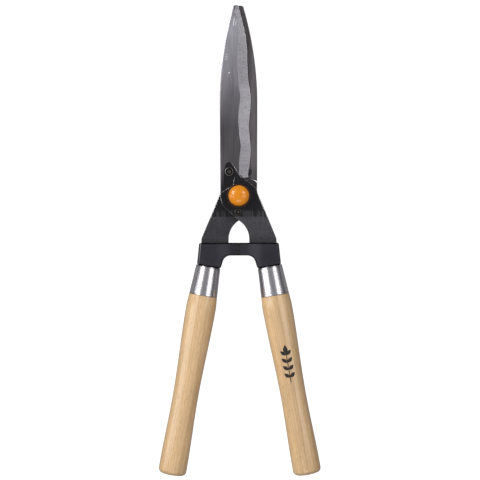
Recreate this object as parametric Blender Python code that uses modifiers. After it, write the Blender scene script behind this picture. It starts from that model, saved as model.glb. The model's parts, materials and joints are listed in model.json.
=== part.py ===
"""Hedge shears, lying flat and closed: two wavy-edged blades riveted to cranked steel arms, a capped
pivot bolt, and oval wooden handles driven onto the arms' tangs.

Metres. +X is across the shears, +Y runs towards the blade tips and +Z is up, out of the front blade.
The origin is on the pivot axis, at the underside of the bolt head, and z = 0 is what the shears lie on.
The two halves are made of the same pieces: the rear half is the front half turned over about the long
axis. So each piece of a half is made once, in half coordinates, whose z is measured from the plane
between the two blades, and is then placed twice.
"""

import math

import bmesh
import bpy
from mathutils import Matrix, Vector

# Pieces that touch, or that pass through each other, keep this clearance
GAP = 0.0003
# Points nearer than this are one point
SAME_POINT = 1e-6

# Thicknesses along the pivot axis
HEAD_HEIGHT = 0.0053
WASHER_THICKNESS = 0.0016
ARM_THICKNESS = 0.0035
BLADE_THICKNESS = 0.0030
SPRING_WASHER_HEIGHT = 0.0012
NUT_HEIGHT = 0.0080
BOLT_TIP_PAST_NUT = 0.0008

# Blade: the outer side and the waved cutting edge
BLADE_TIP = 0.2162
TIP_CORNER = 0.0030
BELLY_Y = 0.1070
BELLY_HALF_WIDTH = 0.0214
TIP_CURVE = 1.33
HEEL_TAPER = 0.0058
WAVE_PITCH = 0.0560
WAVE_CREST = 0.0515
WAVE_HEIGHT = 0.0010
WAVE_TROUGHS = 1.5
EDGE_INSET = 0.00855
TIP_EDGE_INSET = 0.0057
TIP_EDGE_START = 0.1860
HEEL_TOP = 0.0222
HEEL_BOTTOM = 0.0154
HEEL_DIP = 0.0008
HEEL_DIP_TOP = 0.0340

# Blade: the ground band beside the edge, with its scalloped inner line
GRIND_CUSP = 0.0565
GRIND_TROUGH_X = 0.00055
GRIND_LEAN = 0.0085
GRIND_SCALLOP = 0.0026
GRIND_TIP_WIDTH = 0.0060
GRIND_TAPER = 0.0650
GRIND_ANGLE = math.radians(9.0)
GRIND_RUN_OUT = 0.0014
GRIND_END_TOP = 0.0213
GRIND_END_BOTTOM = 0.0182

# Arm: head round the pivot, the lobe beside the blade, the crank and the tang
HEAD_RADIUS = 0.0210
HEAD_ARC_END = 170.0
LOBE_TOP = 0.0380
RECESS_SIDE = -0.0049
RECESS_CORNER = 0.0118
RECESS_CORNER_RADIUS = 0.0080
RECESS_SLANT = 0.60
RECESS_REACH = 0.0300
RECESS_DEPTH = 0.0008
CRANK_START = 0.0245
CRANK_LENGTH = 0.0220
CRANK_ROUNDING = 0.09
BOW_RADIUS = 0.0251
BOW_Y = -0.0490
BOW_HALF_WIDTH = 0.0117
SHOULDER = (0.0425, -0.0480)
SHOULDER_STEP = 0.0006
SHOULDER_END = -0.0600
TANG_NECK = 0.0100
TANG_HALF_WIDTH = 0.0050
TANG_TIP_HALF_WIDTH = 0.0028
TANG_LENGTH = 0.0900
SHOULDER_ROUNDING = 0.0030
TANG_NECK_ROUNDING = 0.0040
TANG_TIP_ROUNDING = 0.0010
# Corners of the arm as x, y and rounding: clockwise over the lobe to the shoulder, and back up to it
LOBE_TO_SHOULDER = [
    (-0.0136, LOBE_TOP, 0.0015),
    (-0.0076, LOBE_TOP, 0.0025),
    (0.0012, 0.0242, 0.0150),
    (0.0208, 0.0082, 0.0018),
    (0.0208, 0.0045, 0.0100),
    (*SHOULDER, 0.0025),
]
HEAD_TO_LOBE = [
    (-0.0205, 0.0064, 0.0010),
    (-0.0170, 0.0085, 0.0020),
    (-0.0170, 0.0280, 0.0060),
]

# Rivets: place, head radius and shank radius
UPPER_RIVET = (-0.0108, 0.0274)
LOWER_RIVET = (-0.0009, -0.0180)
UPPER_RIVET_HEAD = 0.0050
LOWER_RIVET_HEAD = 0.0039
UPPER_RIVET_SHANK = 0.0028
LOWER_RIVET_SHANK = 0.0021
RIVET_HEAD_HEIGHT = 0.0013
RIVET_FOOT_DEPTH = 0.0012
RIVET_FOOT_FLARE = 0.0012
# Shares of a rivet head's radius and height, from its dished middle to its rim
RIVET_HEAD_SHAPE = [(0.0, 0.46), (0.22, 0.54), (0.42, 0.92), (0.60, 1.0), (0.82, 0.77), (1.0, 0.23)]
BLADE_TONGUE_RADIUS = 0.0054

# Collar: the moulded block on the tang, with half of the stop bar
COLLAR_TOP = -0.0530
COLLAR_BAR_BOTTOM = -0.0674
COLLAR_OUTER_TOP = 0.0449
COLLAR_OUTER_BOTTOM = (0.0474, -0.0772)
COLLAR_FOOT_WIDTH = 0.0270
COLLAR_ARCH_X = 0.0166
COLLAR_ARCH_RADIUS = 0.0095
COLLAR_HALF_DEPTH = 0.0122
COLLAR_BAR_DEPTH_SHARE = 0.66
COLLAR_BLEND = (0.0080, 0.0280)
COLLAR_EDGE = 0.0022
COLLAR_CORNER = 0.0022
STOP_CORNER = 0.0006

# Handle and ferrule, measured along the handle from the collar's foot
HANDLE_TILT = math.radians(10.15)
HANDLE_TOP = (0.0349, -0.0795)
FERRULE_LENGTH = 0.0335
FERRULE_TOP_RADIUS = 0.0138
FERRULE_FOOT_RADIUS = 0.0160
FERRULE_WALL = 0.0009
FERRULE_LIP = 0.0004
HANDLE_SHOULDER_RADIUS = 0.0161
HANDLE_BULGE = (0.0460, 0.0169)
HANDLE_WAIST = (0.1520, 0.0144)
HANDLE_PALM_SWELL = (0.2280, 0.0159)
HANDLE_LENGTH = 0.2393
HANDLE_END_ROUNDING = 0.0050

# Bolt, nut and the ring of nylon inside the nut
BOLT_RADIUS = 0.0040
HEX_RADIUS = 0.0075
HEX_CHAMFER = 0.0006
NUT_FLATS_HEIGHT = 0.0058
NUT_CROWN_RADIUS = 0.0060
NUT_CROWN_FOOT = 0.0066
NUT_EDGE = 0.0004
LOCK_RING_LOW = 0.0054
LOCK_RING_HIGH = 0.0073
LOCK_RING_RADIUS = 0.0051
NUT_WASHER_RADIUS = 0.0138
BOLT_WASHER_RADIUS = 0.0120
SPRING_WASHER_RADIUS = 0.0085
SPRING_WASHER_SHEET = 0.0007

# Pivot cap
CAP_RADIUS = 0.0116
CAP_HEIGHT = 0.0126
CAP_DOME = 0.0056
CAP_WALL = 0.0015
CAP_GRIP_WALL = 0.0012
CAP_GRIP_HEIGHT = 0.0055

# How finely round shapes are divided
TURN_STEPS = 32
SMALL_TURN_STEPS = 20
CAP_TURN_STEPS = 24

# Heights of the stack, from the underside of the bolt head upwards
REAR_WASHER_Z = HEAD_HEIGHT + GAP
REAR_ARM_Z = REAR_WASHER_Z + WASHER_THICKNESS + GAP
SHEAR_PLANE_Z = REAR_ARM_Z + ARM_THICKNESS + BLADE_THICKNESS + 1.5 * GAP
HALF_ARM_Z = BLADE_THICKNESS + 1.5 * GAP
FRONT_WASHER_Z = SHEAR_PLANE_Z + HALF_ARM_Z + ARM_THICKNESS + GAP
SPRING_WASHER_Z = FRONT_WASHER_Z + WASHER_THICKNESS + GAP
NUT_Z = SPRING_WASHER_Z + SPRING_WASHER_HEIGHT + GAP
BOLT_TIP_Z = NUT_Z + NUT_HEIGHT + BOLT_TIP_PAST_NUT
# The handles are as deep as it takes for their bulges to lie level with the bolt head
HANDLE_OVAL = SHEAR_PLANE_Z / HANDLE_BULGE[1]
HANDLE_DIRECTION = Vector((math.sin(HANDLE_TILT), -math.cos(HANDLE_TILT)))
HANDLE_ACROSS = Vector((math.cos(HANDLE_TILT), math.sin(HANDLE_TILT)))

# name: colour, roughness, metallic
FINISHES = {
    "blade_steel": ((0.26, 0.25, 0.28), 0.38, 1.0),
    "arm_paint": ((0.045, 0.045, 0.05), 0.45, 0.0),
    "rivet_steel": ((0.09, 0.085, 0.08), 0.45, 1.0),
    "fastener_steel": ((0.50, 0.50, 0.50), 0.35, 1.0),
    "washer_black": ((0.03, 0.03, 0.03), 0.45, 0.0),
    "lock_nylon": ((0.75, 0.78, 0.80), 0.50, 0.0),
    "cap_plastic": ((0.80, 0.24, 0.02), 0.22, 0.0),
    "collar_plastic": ((0.035, 0.035, 0.042), 0.50, 0.0),
    "ferrule_chrome": ((0.75, 0.75, 0.76), 0.12, 1.0),
    "handle_wood": ((0.70, 0.50, 0.30), 0.40, 0.0),
}


def clear_scene():
    for obj in list(bpy.data.objects):
        bpy.data.objects.remove(obj)


def new_collection(name):
    collection = bpy.data.collections.new(name)
    bpy.context.scene.collection.children.link(collection)
    return collection


def material(finish):
    """The named finish as a Principled material, made once."""
    if finish in bpy.data.materials:
        return bpy.data.materials[finish]
    colour, roughness, metallic = FINISHES[finish]
    made = bpy.data.materials.new(finish)
    made.use_nodes = True
    shader = made.node_tree.nodes["Principled BSDF"]
    shader.inputs["Base Color"].default_value = (*colour, 1.0)
    shader.inputs["Roughness"].default_value = roughness
    shader.inputs["Metallic"].default_value = metallic
    return made


def smooth(t):
    """0 to 1 with level ends, and flat outside them."""
    t = min(max(t, 0.0), 1.0)
    return t * t * (3.0 - 2.0 * t)


def between(low, high, t):
    return low + (high - low) * t


def arc(centre, radius, start, end, steps):
    """Points along a circle from one angle to another, in degrees."""
    points = []
    for i in range(steps + 1):
        angle = math.radians(between(start, end, i / steps))
        points.append((centre[0] + radius * math.cos(angle), centre[1] + radius * math.sin(angle)))
    return points


def rounded(corners, steps=4):
    """An outline from (x, y, radius) corners. A radius of 0 keeps the corner sharp."""
    points = []
    for i, (x, y, radius) in enumerate(corners):
        corner = Vector((x, y))
        if radius == 0.0:
            points.append((x, y))
            continue
        before = (Vector(corners[i - 1][:2]) - corner).normalized()
        after = (Vector(corners[(i + 1) % len(corners)][:2]) - corner).normalized()
        half_angle = before.angle(after) / 2.0
        centre = corner + (before + after).normalized() * radius / math.sin(half_angle)
        reach = radius / math.tan(half_angle)
        start = corner + before * reach - centre
        turn = start.angle_signed(corner + after * reach - centre)
        for k in range(steps + 1):
            spoke = start.copy()
            spoke.rotate(Matrix.Rotation(-turn * k / steps, 2))
            points.append(tuple(centre + spoke))
    return points


def sharp(points):
    """Plain points as corners for rounded()."""
    return [(x, y, 0.0) for x, y in points]


def plate_mesh(outlines, thickness):
    """A flat plate of the first outline, with the others as holes, centred on z = 0."""
    curve = bpy.data.curves.new("plate", "CURVE")
    curve.dimensions = "2D"
    curve.fill_mode = "BOTH"
    curve.extrude = thickness / 2.0
    for outline in outlines:
        spline = curve.splines.new("POLY")
        spline.points.add(len(outline) - 1)
        for point, (x, y) in zip(spline.points, outline):
            point.co = (x, y, 0.0, 1.0)
        spline.use_cyclic_u = True
    guide = bpy.data.objects.new("plate", curve)
    bpy.context.scene.collection.objects.link(guide)
    mesh = settled_mesh(guide)
    bm = bmesh.new()
    bm.from_mesh(mesh)
    bmesh.ops.remove_doubles(bm, verts=bm.verts, dist=SAME_POINT)
    bmesh.ops.recalc_face_normals(bm, faces=bm.faces)
    bm.to_mesh(mesh)
    bm.free()
    return mesh


def settled_mesh(obj):
    """The object's mesh with its modifiers applied. The object itself is removed."""
    graph = bpy.context.evaluated_depsgraph_get()
    graph.update()
    mesh = bpy.data.meshes.new_from_object(obj.evaluated_get(graph), depsgraph=graph)
    bpy.data.objects.remove(obj)
    return mesh


def temporary(mesh, location=(0.0, 0.0, 0.0), rotation=(0.0, 0.0, 0.0)):
    obj = bpy.data.objects.new("temporary", mesh)
    obj.location = location
    obj.rotation_euler = rotation
    bpy.context.scene.collection.objects.link(obj)
    return obj


def combined(mesh, tools, operation, location=(0.0, 0.0, 0.0), rotation=(0.0, 0.0, 0.0)):
    """The mesh after one exact Boolean with each of the tools, which are used up."""
    obj = temporary(mesh, location, rotation)
    for tool in tools:
        modifier = obj.modifiers.new("boolean", "BOOLEAN")
        modifier.operation = operation
        modifier.solver = "EXACT"
        modifier.object = tool
    made = settled_mesh(obj)
    for tool in tools:
        bpy.data.objects.remove(tool)
    return made


def turned_mesh(profile, steps):
    """A solid of revolution about Z from (radius, z) points that run down its outer side."""
    mesh = bpy.data.meshes.new("profile")
    bm = bmesh.new()
    verts = [bm.verts.new((radius, 0.0, z)) for radius, z in profile]
    for first, second in zip(verts, verts[1:]):
        bm.edges.new((first, second))
    if profile[0][0] > 0.0:
        bm.edges.new((verts[-1], verts[0]))
    bm.to_mesh(mesh)
    bm.free()
    obj = temporary(mesh)
    screw = obj.modifiers.new("turn", "SCREW")
    screw.steps = steps
    screw.render_steps = steps
    screw.use_merge_vertices = True
    screw.merge_threshold = SAME_POINT
    return settled_mesh(obj)


def cylinder_mesh(radius, low, high, sides):
    """A prism on the Z axis with this many sides, with flats facing +Y and -Y on a hexagon."""
    mesh = bpy.data.meshes.new("cylinder")
    bm = bmesh.new()
    bmesh.ops.create_cone(
        bm,
        cap_ends=True,
        segments=sides,
        radius1=radius,
        radius2=radius,
        depth=high - low,
        matrix=Matrix.Translation((0.0, 0.0, (low + high) / 2.0)),
    )
    if sides == 6:
        bmesh.ops.rotate(bm, verts=bm.verts, matrix=Matrix.Rotation(math.radians(30.0), 3, "Z"))
    bm.to_mesh(mesh)
    bm.free()
    return mesh


def cut_along(mesh, axis, places):
    """Adds edges to the mesh where it crosses these places on an axis, so that it can bend there."""
    bm = bmesh.new()
    bm.from_mesh(mesh)
    normal = Vector((0.0, 0.0, 0.0))
    normal[axis] = 1.0
    for place in places:
        geometry = bm.verts[:] + bm.edges[:] + bm.faces[:]
        bmesh.ops.bisect_plane(
            bm, geom=geometry, dist=SAME_POINT / 10.0, plane_co=normal * place, plane_no=normal
        )
    bm.to_mesh(mesh)
    bm.free()


def merge_flat_faces(mesh):
    """Joins faces that lie in one plane into one face."""
    bm = bmesh.new()
    bm.from_mesh(mesh)
    bmesh.ops.dissolve_limit(bm, angle_limit=math.radians(0.5), verts=bm.verts, edges=bm.edges)
    bm.to_mesh(mesh)
    bm.free()


def shade(mesh, angle=35.0):
    mesh.shade_smooth()
    mesh.set_sharp_from_angle(angle=math.radians(angle))


# --- Blade ---------------------------------------------------------------------------------------


def blade_half_width(y):
    """The outer side: nearly straight to the belly, then a parabola to the tip."""
    if y > BELLY_Y:
        return BELLY_HALF_WIDTH - TIP_CURVE * (y - BELLY_Y) ** 2
    return BELLY_HALF_WIDTH - HEEL_TAPER * (BELLY_Y - y)


def heel_flare(y):
    """0 along the cutting edge, rising to 1 where the blade has its full width at the heel."""
    return smooth((HEEL_TOP - y) / (HEEL_TOP - HEEL_BOTTOM))


def blade_edge(y):
    """The cutting edge: a wave that dies away to the tip, with a dip and then a flare at the heel."""
    wave_end = WAVE_CREST + WAVE_TROUGHS * WAVE_PITCH
    phase = 2.0 * math.pi * (min(y, wave_end) - WAVE_CREST) / WAVE_PITCH
    inset = EDGE_INSET - WAVE_HEIGHT * math.cos(phase)
    to_tip = smooth((y - wave_end) / (TIP_EDGE_START - wave_end))
    inset = between(inset, TIP_EDGE_INSET, to_tip)
    inset += HEEL_DIP * smooth((HEEL_DIP_TOP - y) / (HEEL_DIP_TOP - HEEL_TOP))
    return blade_half_width(y) - inset * (1.0 - heel_flare(y))


def grind_line(y):
    """The inner border of the ground band: scallops, sweeping out to the edge just above the heel."""
    taper_start = GRIND_CUSP + WAVE_TROUGHS * WAVE_PITCH
    trough_x = GRIND_TROUGH_X - GRIND_LEAN * min(y, taper_start)
    if y > taper_start:
        width = blade_edge(taper_start) - trough_x
        taper = smooth((y - taper_start) / GRIND_TAPER)
        return blade_edge(y) - between(width, GRIND_TIP_WIDTH, taper)
    scallop = 1.0 - abs(math.sin(math.pi * (y - GRIND_CUSP) / WAVE_PITCH))
    line = trough_x + GRIND_SCALLOP * scallop
    run_out = smooth((GRIND_END_TOP - y) / (GRIND_END_TOP - GRIND_END_BOTTOM))
    return between(line, blade_edge(y) - GRIND_RUN_OUT, run_out)


def base_extent(y):
    """The blade's base below the pivot: a round head joined by tangents to a tongue at the rivet."""
    head = blade_half_width(0.0)
    left, right = 0.0, 0.0
    steps = 24
    for i in range(steps + 1):
        t = i / steps
        radius = between(head, BLADE_TONGUE_RADIUS, t)
        centre_x = between(0.0, LOWER_RIVET[0], t)
        rise = y - between(0.0, LOWER_RIVET[1], t)
        if abs(rise) < radius:
            half = math.sqrt(radius * radius - rise * rise)
            left = min(left, centre_x - half)
            right = max(right, centre_x + half)
    return left, right


def blade_stations():
    """Where the blade's cross-sections stand, closer together where the outline turns."""
    bottom = LOWER_RIVET[1] - BLADE_TONGUE_RADIUS
    base_count = 8
    base = []
    for k in range(base_count):
        # The first station stands a little inside the tongue's end, where it still has some width
        base.append(bottom * math.cos(math.pi / 2.0 * (k + 0.3) / (base_count + 0.3)))
    heel = [0.0, HEEL_BOTTOM / 2.0] + [between(HEEL_BOTTOM, HEEL_TOP, k / 9.0) for k in range(10)]
    wave_start = GRIND_CUSP - WAVE_PITCH / 2.0
    wave_step = WAVE_PITCH / 10.0
    wave = [wave_start + wave_step * k for k in range(21)]
    corner_start = BLADE_TIP - TIP_CORNER
    taper = [between(wave[-1], corner_start, k / 9.0) for k in range(1, 10)]
    corner = [corner_start + TIP_CORNER * math.sin(math.pi / 2.0 * k / 4.0) for k in range(1, 5)]
    return base + heel + wave + taper + corner


def blade_section(y):
    """The cross-section at y: flat underneath, flat on top, and ground down to the edge."""
    low = GAP / 2.0
    high = low + BLADE_THICKNESS
    if y < 0.0:
        left, right = base_extent(y)
        inner = right - GRIND_RUN_OUT
    else:
        corner_start = BLADE_TIP - TIP_CORNER
        rise = max(y - corner_start, 0.0)
        rounding = TIP_CORNER - math.sqrt(max(TIP_CORNER**2 - rise**2, 0.0))
        left = rounding - blade_half_width(min(y, corner_start))
        right = blade_edge(min(y, corner_start)) - rounding / 2.0
        inner = grind_line(min(y, corner_start)) + rounding / 2.0
    inner = max(inner, left + GRIND_RUN_OUT)
    edge_top = high - (right - inner) * math.tan(GRIND_ANGLE)
    flat = [(left, low), (right, low), (right, edge_top), (inner, high), (left, high)]
    return [Vector((x, y, z)) for x, z in flat]


def lofted_mesh(sections):
    """A skin over a row of closed cross-sections with the same number of points, with flat ends."""
    mesh = bpy.data.meshes.new("loft")
    bm = bmesh.new()
    rings = [[bm.verts.new(point) for point in section] for section in sections]
    count = len(rings[0])
    for near, far in zip(rings, rings[1:]):
        for i in range(count):
            j = (i + 1) % count
            bm.faces.new((near[i], near[j], far[j], far[i]))
    bm.faces.new(rings[0])
    bm.faces.new(rings[-1])
    bmesh.ops.recalc_face_normals(bm, faces=bm.faces)
    bm.to_mesh(mesh)
    bm.free()
    return mesh


def rivet_hole(place, shank, head_z):
    """A cutter for a rivet's hole through the blade, countersunk on the face between the blades."""
    foot_z = GAP / 2.0
    bore = shank + GAP
    mouth = bore + RIVET_FOOT_FLARE
    profile = [
        (0.0, head_z),
        (bore, head_z),
        (bore, foot_z + RIVET_FOOT_DEPTH + GAP),
        (mouth, foot_z + GAP),
        (mouth, foot_z - BLADE_THICKNESS),
        (0.0, foot_z - BLADE_THICKNESS),
    ]
    return temporary(turned_mesh(profile, SMALL_TURN_STEPS), (place[0], place[1], 0.0))


def blade_mesh():
    mesh = lofted_mesh([blade_section(y) for y in blade_stations()])
    past_top = 2.0 * BLADE_THICKNESS
    cutters = [
        temporary(cylinder_mesh(BOLT_RADIUS + GAP, -past_top, past_top, SMALL_TURN_STEPS)),
        rivet_hole(UPPER_RIVET, UPPER_RIVET_SHANK, past_top),
        rivet_hole(LOWER_RIVET, LOWER_RIVET_SHANK, past_top),
    ]
    made = combined(mesh, cutters, "DIFFERENCE")
    shade(made, 8.0)
    return made


# --- Arm -----------------------------------------------------------------------------------------


def tang_corners(grow):
    """The arm from its shoulder through the collar to the tang's tip, each side moved out by grow."""
    top = Vector(HANDLE_TOP)
    neck = top - HANDLE_DIRECTION * TANG_NECK
    tip = top + HANDLE_DIRECTION * (TANG_LENGTH + grow)
    wide = HANDLE_ACROSS * (TANG_HALF_WIDTH + grow)
    narrow = HANDLE_ACROSS * (TANG_TIP_HALF_WIDTH + grow)
    return [
        (SHOULDER[0] + SHOULDER_STEP + grow, SHOULDER_END, SHOULDER_ROUNDING),
        (*(neck + wide), TANG_NECK_ROUNDING),
        (*(tip + narrow), TANG_TIP_ROUNDING),
        (*(tip - narrow), TANG_TIP_ROUNDING),
        (*(neck - wide), TANG_NECK_ROUNDING),
        (BOW_HALF_WIDTH - grow, SHOULDER_END, SHOULDER_ROUNDING),
    ]


def arm_outline():
    """Clockwise from the top of the lobe that holds the upper rivet."""
    bow_centre = (BOW_HALF_WIDTH - BOW_RADIUS, BOW_Y)
    apex_angle = math.degrees(math.acos(-bow_centre[0] / BOW_RADIUS))
    apex = arc(bow_centre, BOW_RADIUS, apex_angle, apex_angle, 1)[0]
    apex_bearing = math.degrees(math.atan2(apex[1], apex[0]))
    tangent_angle = math.degrees(math.acos(HEAD_RADIUS / math.hypot(*apex)))
    head_start = apex_bearing + 360.0 - tangent_angle
    corners = LOBE_TO_SHOULDER + tang_corners(0.0)
    corners += sharp(arc(bow_centre, BOW_RADIUS, 0.0, apex_angle, 10))
    corners += sharp(arc((0.0, 0.0), HEAD_RADIUS, head_start, HEAD_ARC_END, 8))
    return rounded(corners + HEAD_TO_LOBE)


def crank(y):
    """How far the arm has stepped down at y, from 0 on the head to 1 in the collar."""
    t = (-y - CRANK_START) / CRANK_LENGTH
    if t <= -CRANK_ROUNDING:
        return 0.0
    if t < CRANK_ROUNDING:
        return (t + CRANK_ROUNDING) ** 2 / (4.0 * CRANK_ROUNDING)
    if t < 1.0 - CRANK_ROUNDING:
        return t
    if t < 1.0 + CRANK_ROUNDING:
        return 1.0 - (1.0 + CRANK_ROUNDING - t) ** 2 / (4.0 * CRANK_ROUNDING)
    return 1.0


def crank_lines():
    """Where the plate is divided so that it can bend: across each of the crank's two bends."""
    lines = []
    for bend in (0.0, 1.0):
        for step in (-1.0, -0.4, 0.4, 1.0):
            lines.append(-CRANK_START - CRANK_LENGTH * (bend + step * CRANK_ROUNDING))
    return lines


def recess_cutter(top):
    """The shallow step that leaves the pivot boss standing proud of the rivet lobe."""
    far_side = RECESS_SIDE - RECESS_REACH
    far_top = LOBE_TOP + RECESS_REACH
    outline = rounded(
        [
            (far_side, RECESS_CORNER - RECESS_SLANT * RECESS_REACH, 0.0),
            (RECESS_SIDE, RECESS_CORNER, RECESS_CORNER_RADIUS),
            (RECESS_SIDE, far_top, 0.0),
            (far_side, far_top, 0.0),
        ],
        steps=8,
    )
    height = 2.0 * RECESS_DEPTH
    return temporary(plate_mesh([outline], height), (0.0, 0.0, top))


def arm_mesh():
    steps = SMALL_TURN_STEPS
    holes = [
        arc((0.0, 0.0), BOLT_RADIUS + GAP, 0.0, 360.0, steps)[:-1],
        arc(UPPER_RIVET, UPPER_RIVET_SHANK + GAP, 0.0, 360.0, steps)[:-1],
        arc(LOWER_RIVET, LOWER_RIVET_SHANK + GAP, 0.0, 360.0, steps)[:-1],
    ]
    mesh = plate_mesh([arm_outline(), *holes], ARM_THICKNESS)
    head_centre = HALF_ARM_Z + ARM_THICKNESS / 2.0
    cut_along(mesh, 1, crank_lines())
    for vertex in mesh.vertices:
        vertex.co.z += head_centre * (1.0 - crank(vertex.co.y))
    made = combined(mesh, [recess_cutter(HALF_ARM_Z + ARM_THICKNESS)], "DIFFERENCE")
    shade(made, 20.0)
    return made


# --- Rivets --------------------------------------------------------------------------------------


def rivet_mesh(head_radius, shank, head_z):
    """A rivet on the Z axis, its head on the arm at head_z and its foot flush in the blade."""
    foot_z = GAP
    profile = [(head_radius * x, head_z + RIVET_HEAD_HEIGHT * z) for x, z in RIVET_HEAD_SHAPE]
    profile += [
        (head_radius, head_z),
        (shank, head_z),
        (shank, foot_z + RIVET_FOOT_DEPTH),
        (shank + RIVET_FOOT_FLARE, foot_z),
        (0.0, foot_z),
    ]
    mesh = turned_mesh(profile, SMALL_TURN_STEPS)
    shade(mesh)
    return mesh


def upper_rivet_mesh():
    return rivet_mesh(UPPER_RIVET_HEAD, UPPER_RIVET_SHANK, HALF_ARM_Z + ARM_THICKNESS - RECESS_DEPTH + GAP)


def lower_rivet_mesh():
    return rivet_mesh(LOWER_RIVET_HEAD, LOWER_RIVET_SHANK, HALF_ARM_Z + ARM_THICKNESS + GAP)


# --- Collar --------------------------------------------------------------------------------------


def collar_outline():
    """Anticlockwise from the stop face's lower corner."""
    outer = Vector(COLLAR_OUTER_BOTTOM)
    inner = outer - HANDLE_ACROSS * COLLAR_FOOT_WIDTH
    return rounded(
        [
            (GAP / 2.0, COLLAR_BAR_BOTTOM, STOP_CORNER),
            (COLLAR_ARCH_X, COLLAR_BAR_BOTTOM, COLLAR_ARCH_RADIUS),
            (*inner, COLLAR_CORNER),
            (*outer, COLLAR_CORNER),
            (COLLAR_OUTER_TOP, COLLAR_TOP, COLLAR_CORNER),
            (GAP / 2.0, COLLAR_TOP, STOP_CORNER),
        ],
        steps=5,
    )


def tang_slot():
    """A cutter for the slot that the arm's plate and tang pass through."""
    past_top = COLLAR_TOP + COLLAR_EDGE * 2.0
    start = (BOW_HALF_WIDTH - GAP, past_top, 0.0)
    end = (SHOULDER[0] + SHOULDER_STEP + GAP, past_top, 0.0)
    outline = rounded([end] + tang_corners(GAP) + [start])
    return temporary(plate_mesh([outline], ARM_THICKNESS + 2.0 * GAP))


def collar_mesh():
    """The block is as deep as the ferrule, and thins to the stop bar."""
    mesh = plate_mesh([collar_outline()], 2.0 * COLLAR_HALF_DEPTH)
    merge_flat_faces(mesh)
    blend_start, blend_end = COLLAR_BLEND
    cut_along(mesh, 0, [between(blend_start, blend_end, k / 4.0) for k in range(5)])
    for vertex in mesh.vertices:
        t = (vertex.co.x - blend_start) / (blend_end - blend_start)
        vertex.co.z *= between(COLLAR_BAR_DEPTH_SHARE, 1.0, smooth(t))
    block = temporary(mesh)
    bevel = block.modifiers.new("edges", "BEVEL")
    bevel.width = COLLAR_EDGE
    bevel.segments = 3
    bevel.limit_method = "ANGLE"
    bevel.angle_limit = math.radians(50.0)
    made = combined(settled_mesh(block), [tang_slot()], "DIFFERENCE")
    shade(made)
    return made


# --- Handle and ferrule --------------------------------------------------------------------------


def ferrule_radius(along):
    return between(FERRULE_TOP_RADIUS, FERRULE_FOOT_RADIUS, along / FERRULE_LENGTH)


def swell(start, end, steps):
    """Points from one extreme of the handle's radius to the next, level at both ends."""
    points = []
    for k in range(1, steps + 1):
        share = (1.0 - math.cos(math.pi * k / steps)) / 2.0
        points.append((between(start[0], end[0], k / steps), between(start[1], end[1], share)))
    return points


def oval(mesh):
    """Flattens a turned shape on the handle's axis to the handle's oval section."""
    mesh.transform(Matrix.Diagonal((1.0, HANDLE_OVAL, 1.0, 1.0)))
    return mesh


def ferrule_mesh():
    """A tapered ring with a rolled lip at each end."""
    top, foot = GAP, FERRULE_LENGTH
    profile = [
        (ferrule_radius(top) - FERRULE_LIP, -top),
        (ferrule_radius(top), -top - FERRULE_LIP),
        (ferrule_radius(foot), -foot + FERRULE_LIP),
        (ferrule_radius(foot) - FERRULE_LIP, -foot),
        (ferrule_radius(foot) - FERRULE_WALL, -foot),
        (ferrule_radius(top) - FERRULE_WALL, -top),
    ]
    mesh = oval(turned_mesh(profile, TURN_STEPS))
    shade(mesh)
    return mesh


def handle_profile():
    """(radius, z) down the outside, z falling away from the collar."""
    neck = FERRULE_WALL + GAP
    shoulder = FERRULE_LENGTH + GAP
    along = [(GAP, 0.0), (GAP, ferrule_radius(GAP) - neck), (shoulder, ferrule_radius(shoulder) - neck)]
    along += [(shoulder, HANDLE_SHOULDER_RADIUS)]
    along += swell((shoulder, HANDLE_SHOULDER_RADIUS), HANDLE_BULGE, 3)
    along += swell(HANDLE_BULGE, HANDLE_WAIST, 8)
    along += swell(HANDLE_WAIST, HANDLE_PALM_SWELL, 6)
    end_radius = HANDLE_PALM_SWELL[1]
    rounding = HANDLE_END_ROUNDING
    centre = (HANDLE_LENGTH - rounding, end_radius - rounding)
    along += arc(centre, rounding, 90.0, 0.0, 4)
    along += [(HANDLE_LENGTH, 0.0)]
    return [(radius, -distance) for distance, radius in along]


def handle_mesh(location, rotation):
    """Turned and flattened, with a blind slot for the tang."""
    mesh = oval(turned_mesh(handle_profile(), TURN_STEPS))
    made = combined(mesh, [tang_slot()], "DIFFERENCE", location, rotation)
    shade(made)
    return made


# --- Pivot ---------------------------------------------------------------------------------------


def ring_mesh(inner, outer, height):
    """A flat washer standing on z = 0."""
    return turned_mesh([(outer, height), (outer, 0.0), (inner, 0.0), (inner, height)], SMALL_TURN_STEPS)


def bolt_mesh():
    """A hex head with its lower corners chamfered, and a plain shank with a chamfered end."""
    chamfer = HEX_CHAMFER
    head = turned_mesh(
        [
            (0.0, HEAD_HEIGHT),
            (HEX_RADIUS, HEAD_HEIGHT),
            (HEX_RADIUS, chamfer),
            (HEX_RADIUS - 2.0 * chamfer, 0.0),
            (0.0, 0.0),
        ],
        SMALL_TURN_STEPS * 2,
    )
    hexagon = temporary(cylinder_mesh(HEX_RADIUS, -chamfer, HEAD_HEIGHT + chamfer, 6))
    head = combined(head, [hexagon], "INTERSECT")
    merge_flat_faces(head)
    shank = turned_mesh(
        [
            (0.0, BOLT_TIP_Z),
            (BOLT_RADIUS - chamfer, BOLT_TIP_Z),
            (BOLT_RADIUS, BOLT_TIP_Z - chamfer),
            (BOLT_RADIUS, HEAD_HEIGHT / 2.0),
            (0.0, HEAD_HEIGHT / 2.0),
        ],
        SMALL_TURN_STEPS,
    )
    made = combined(head, [temporary(shank)], "UNION")
    shade(made)
    return made


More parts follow.
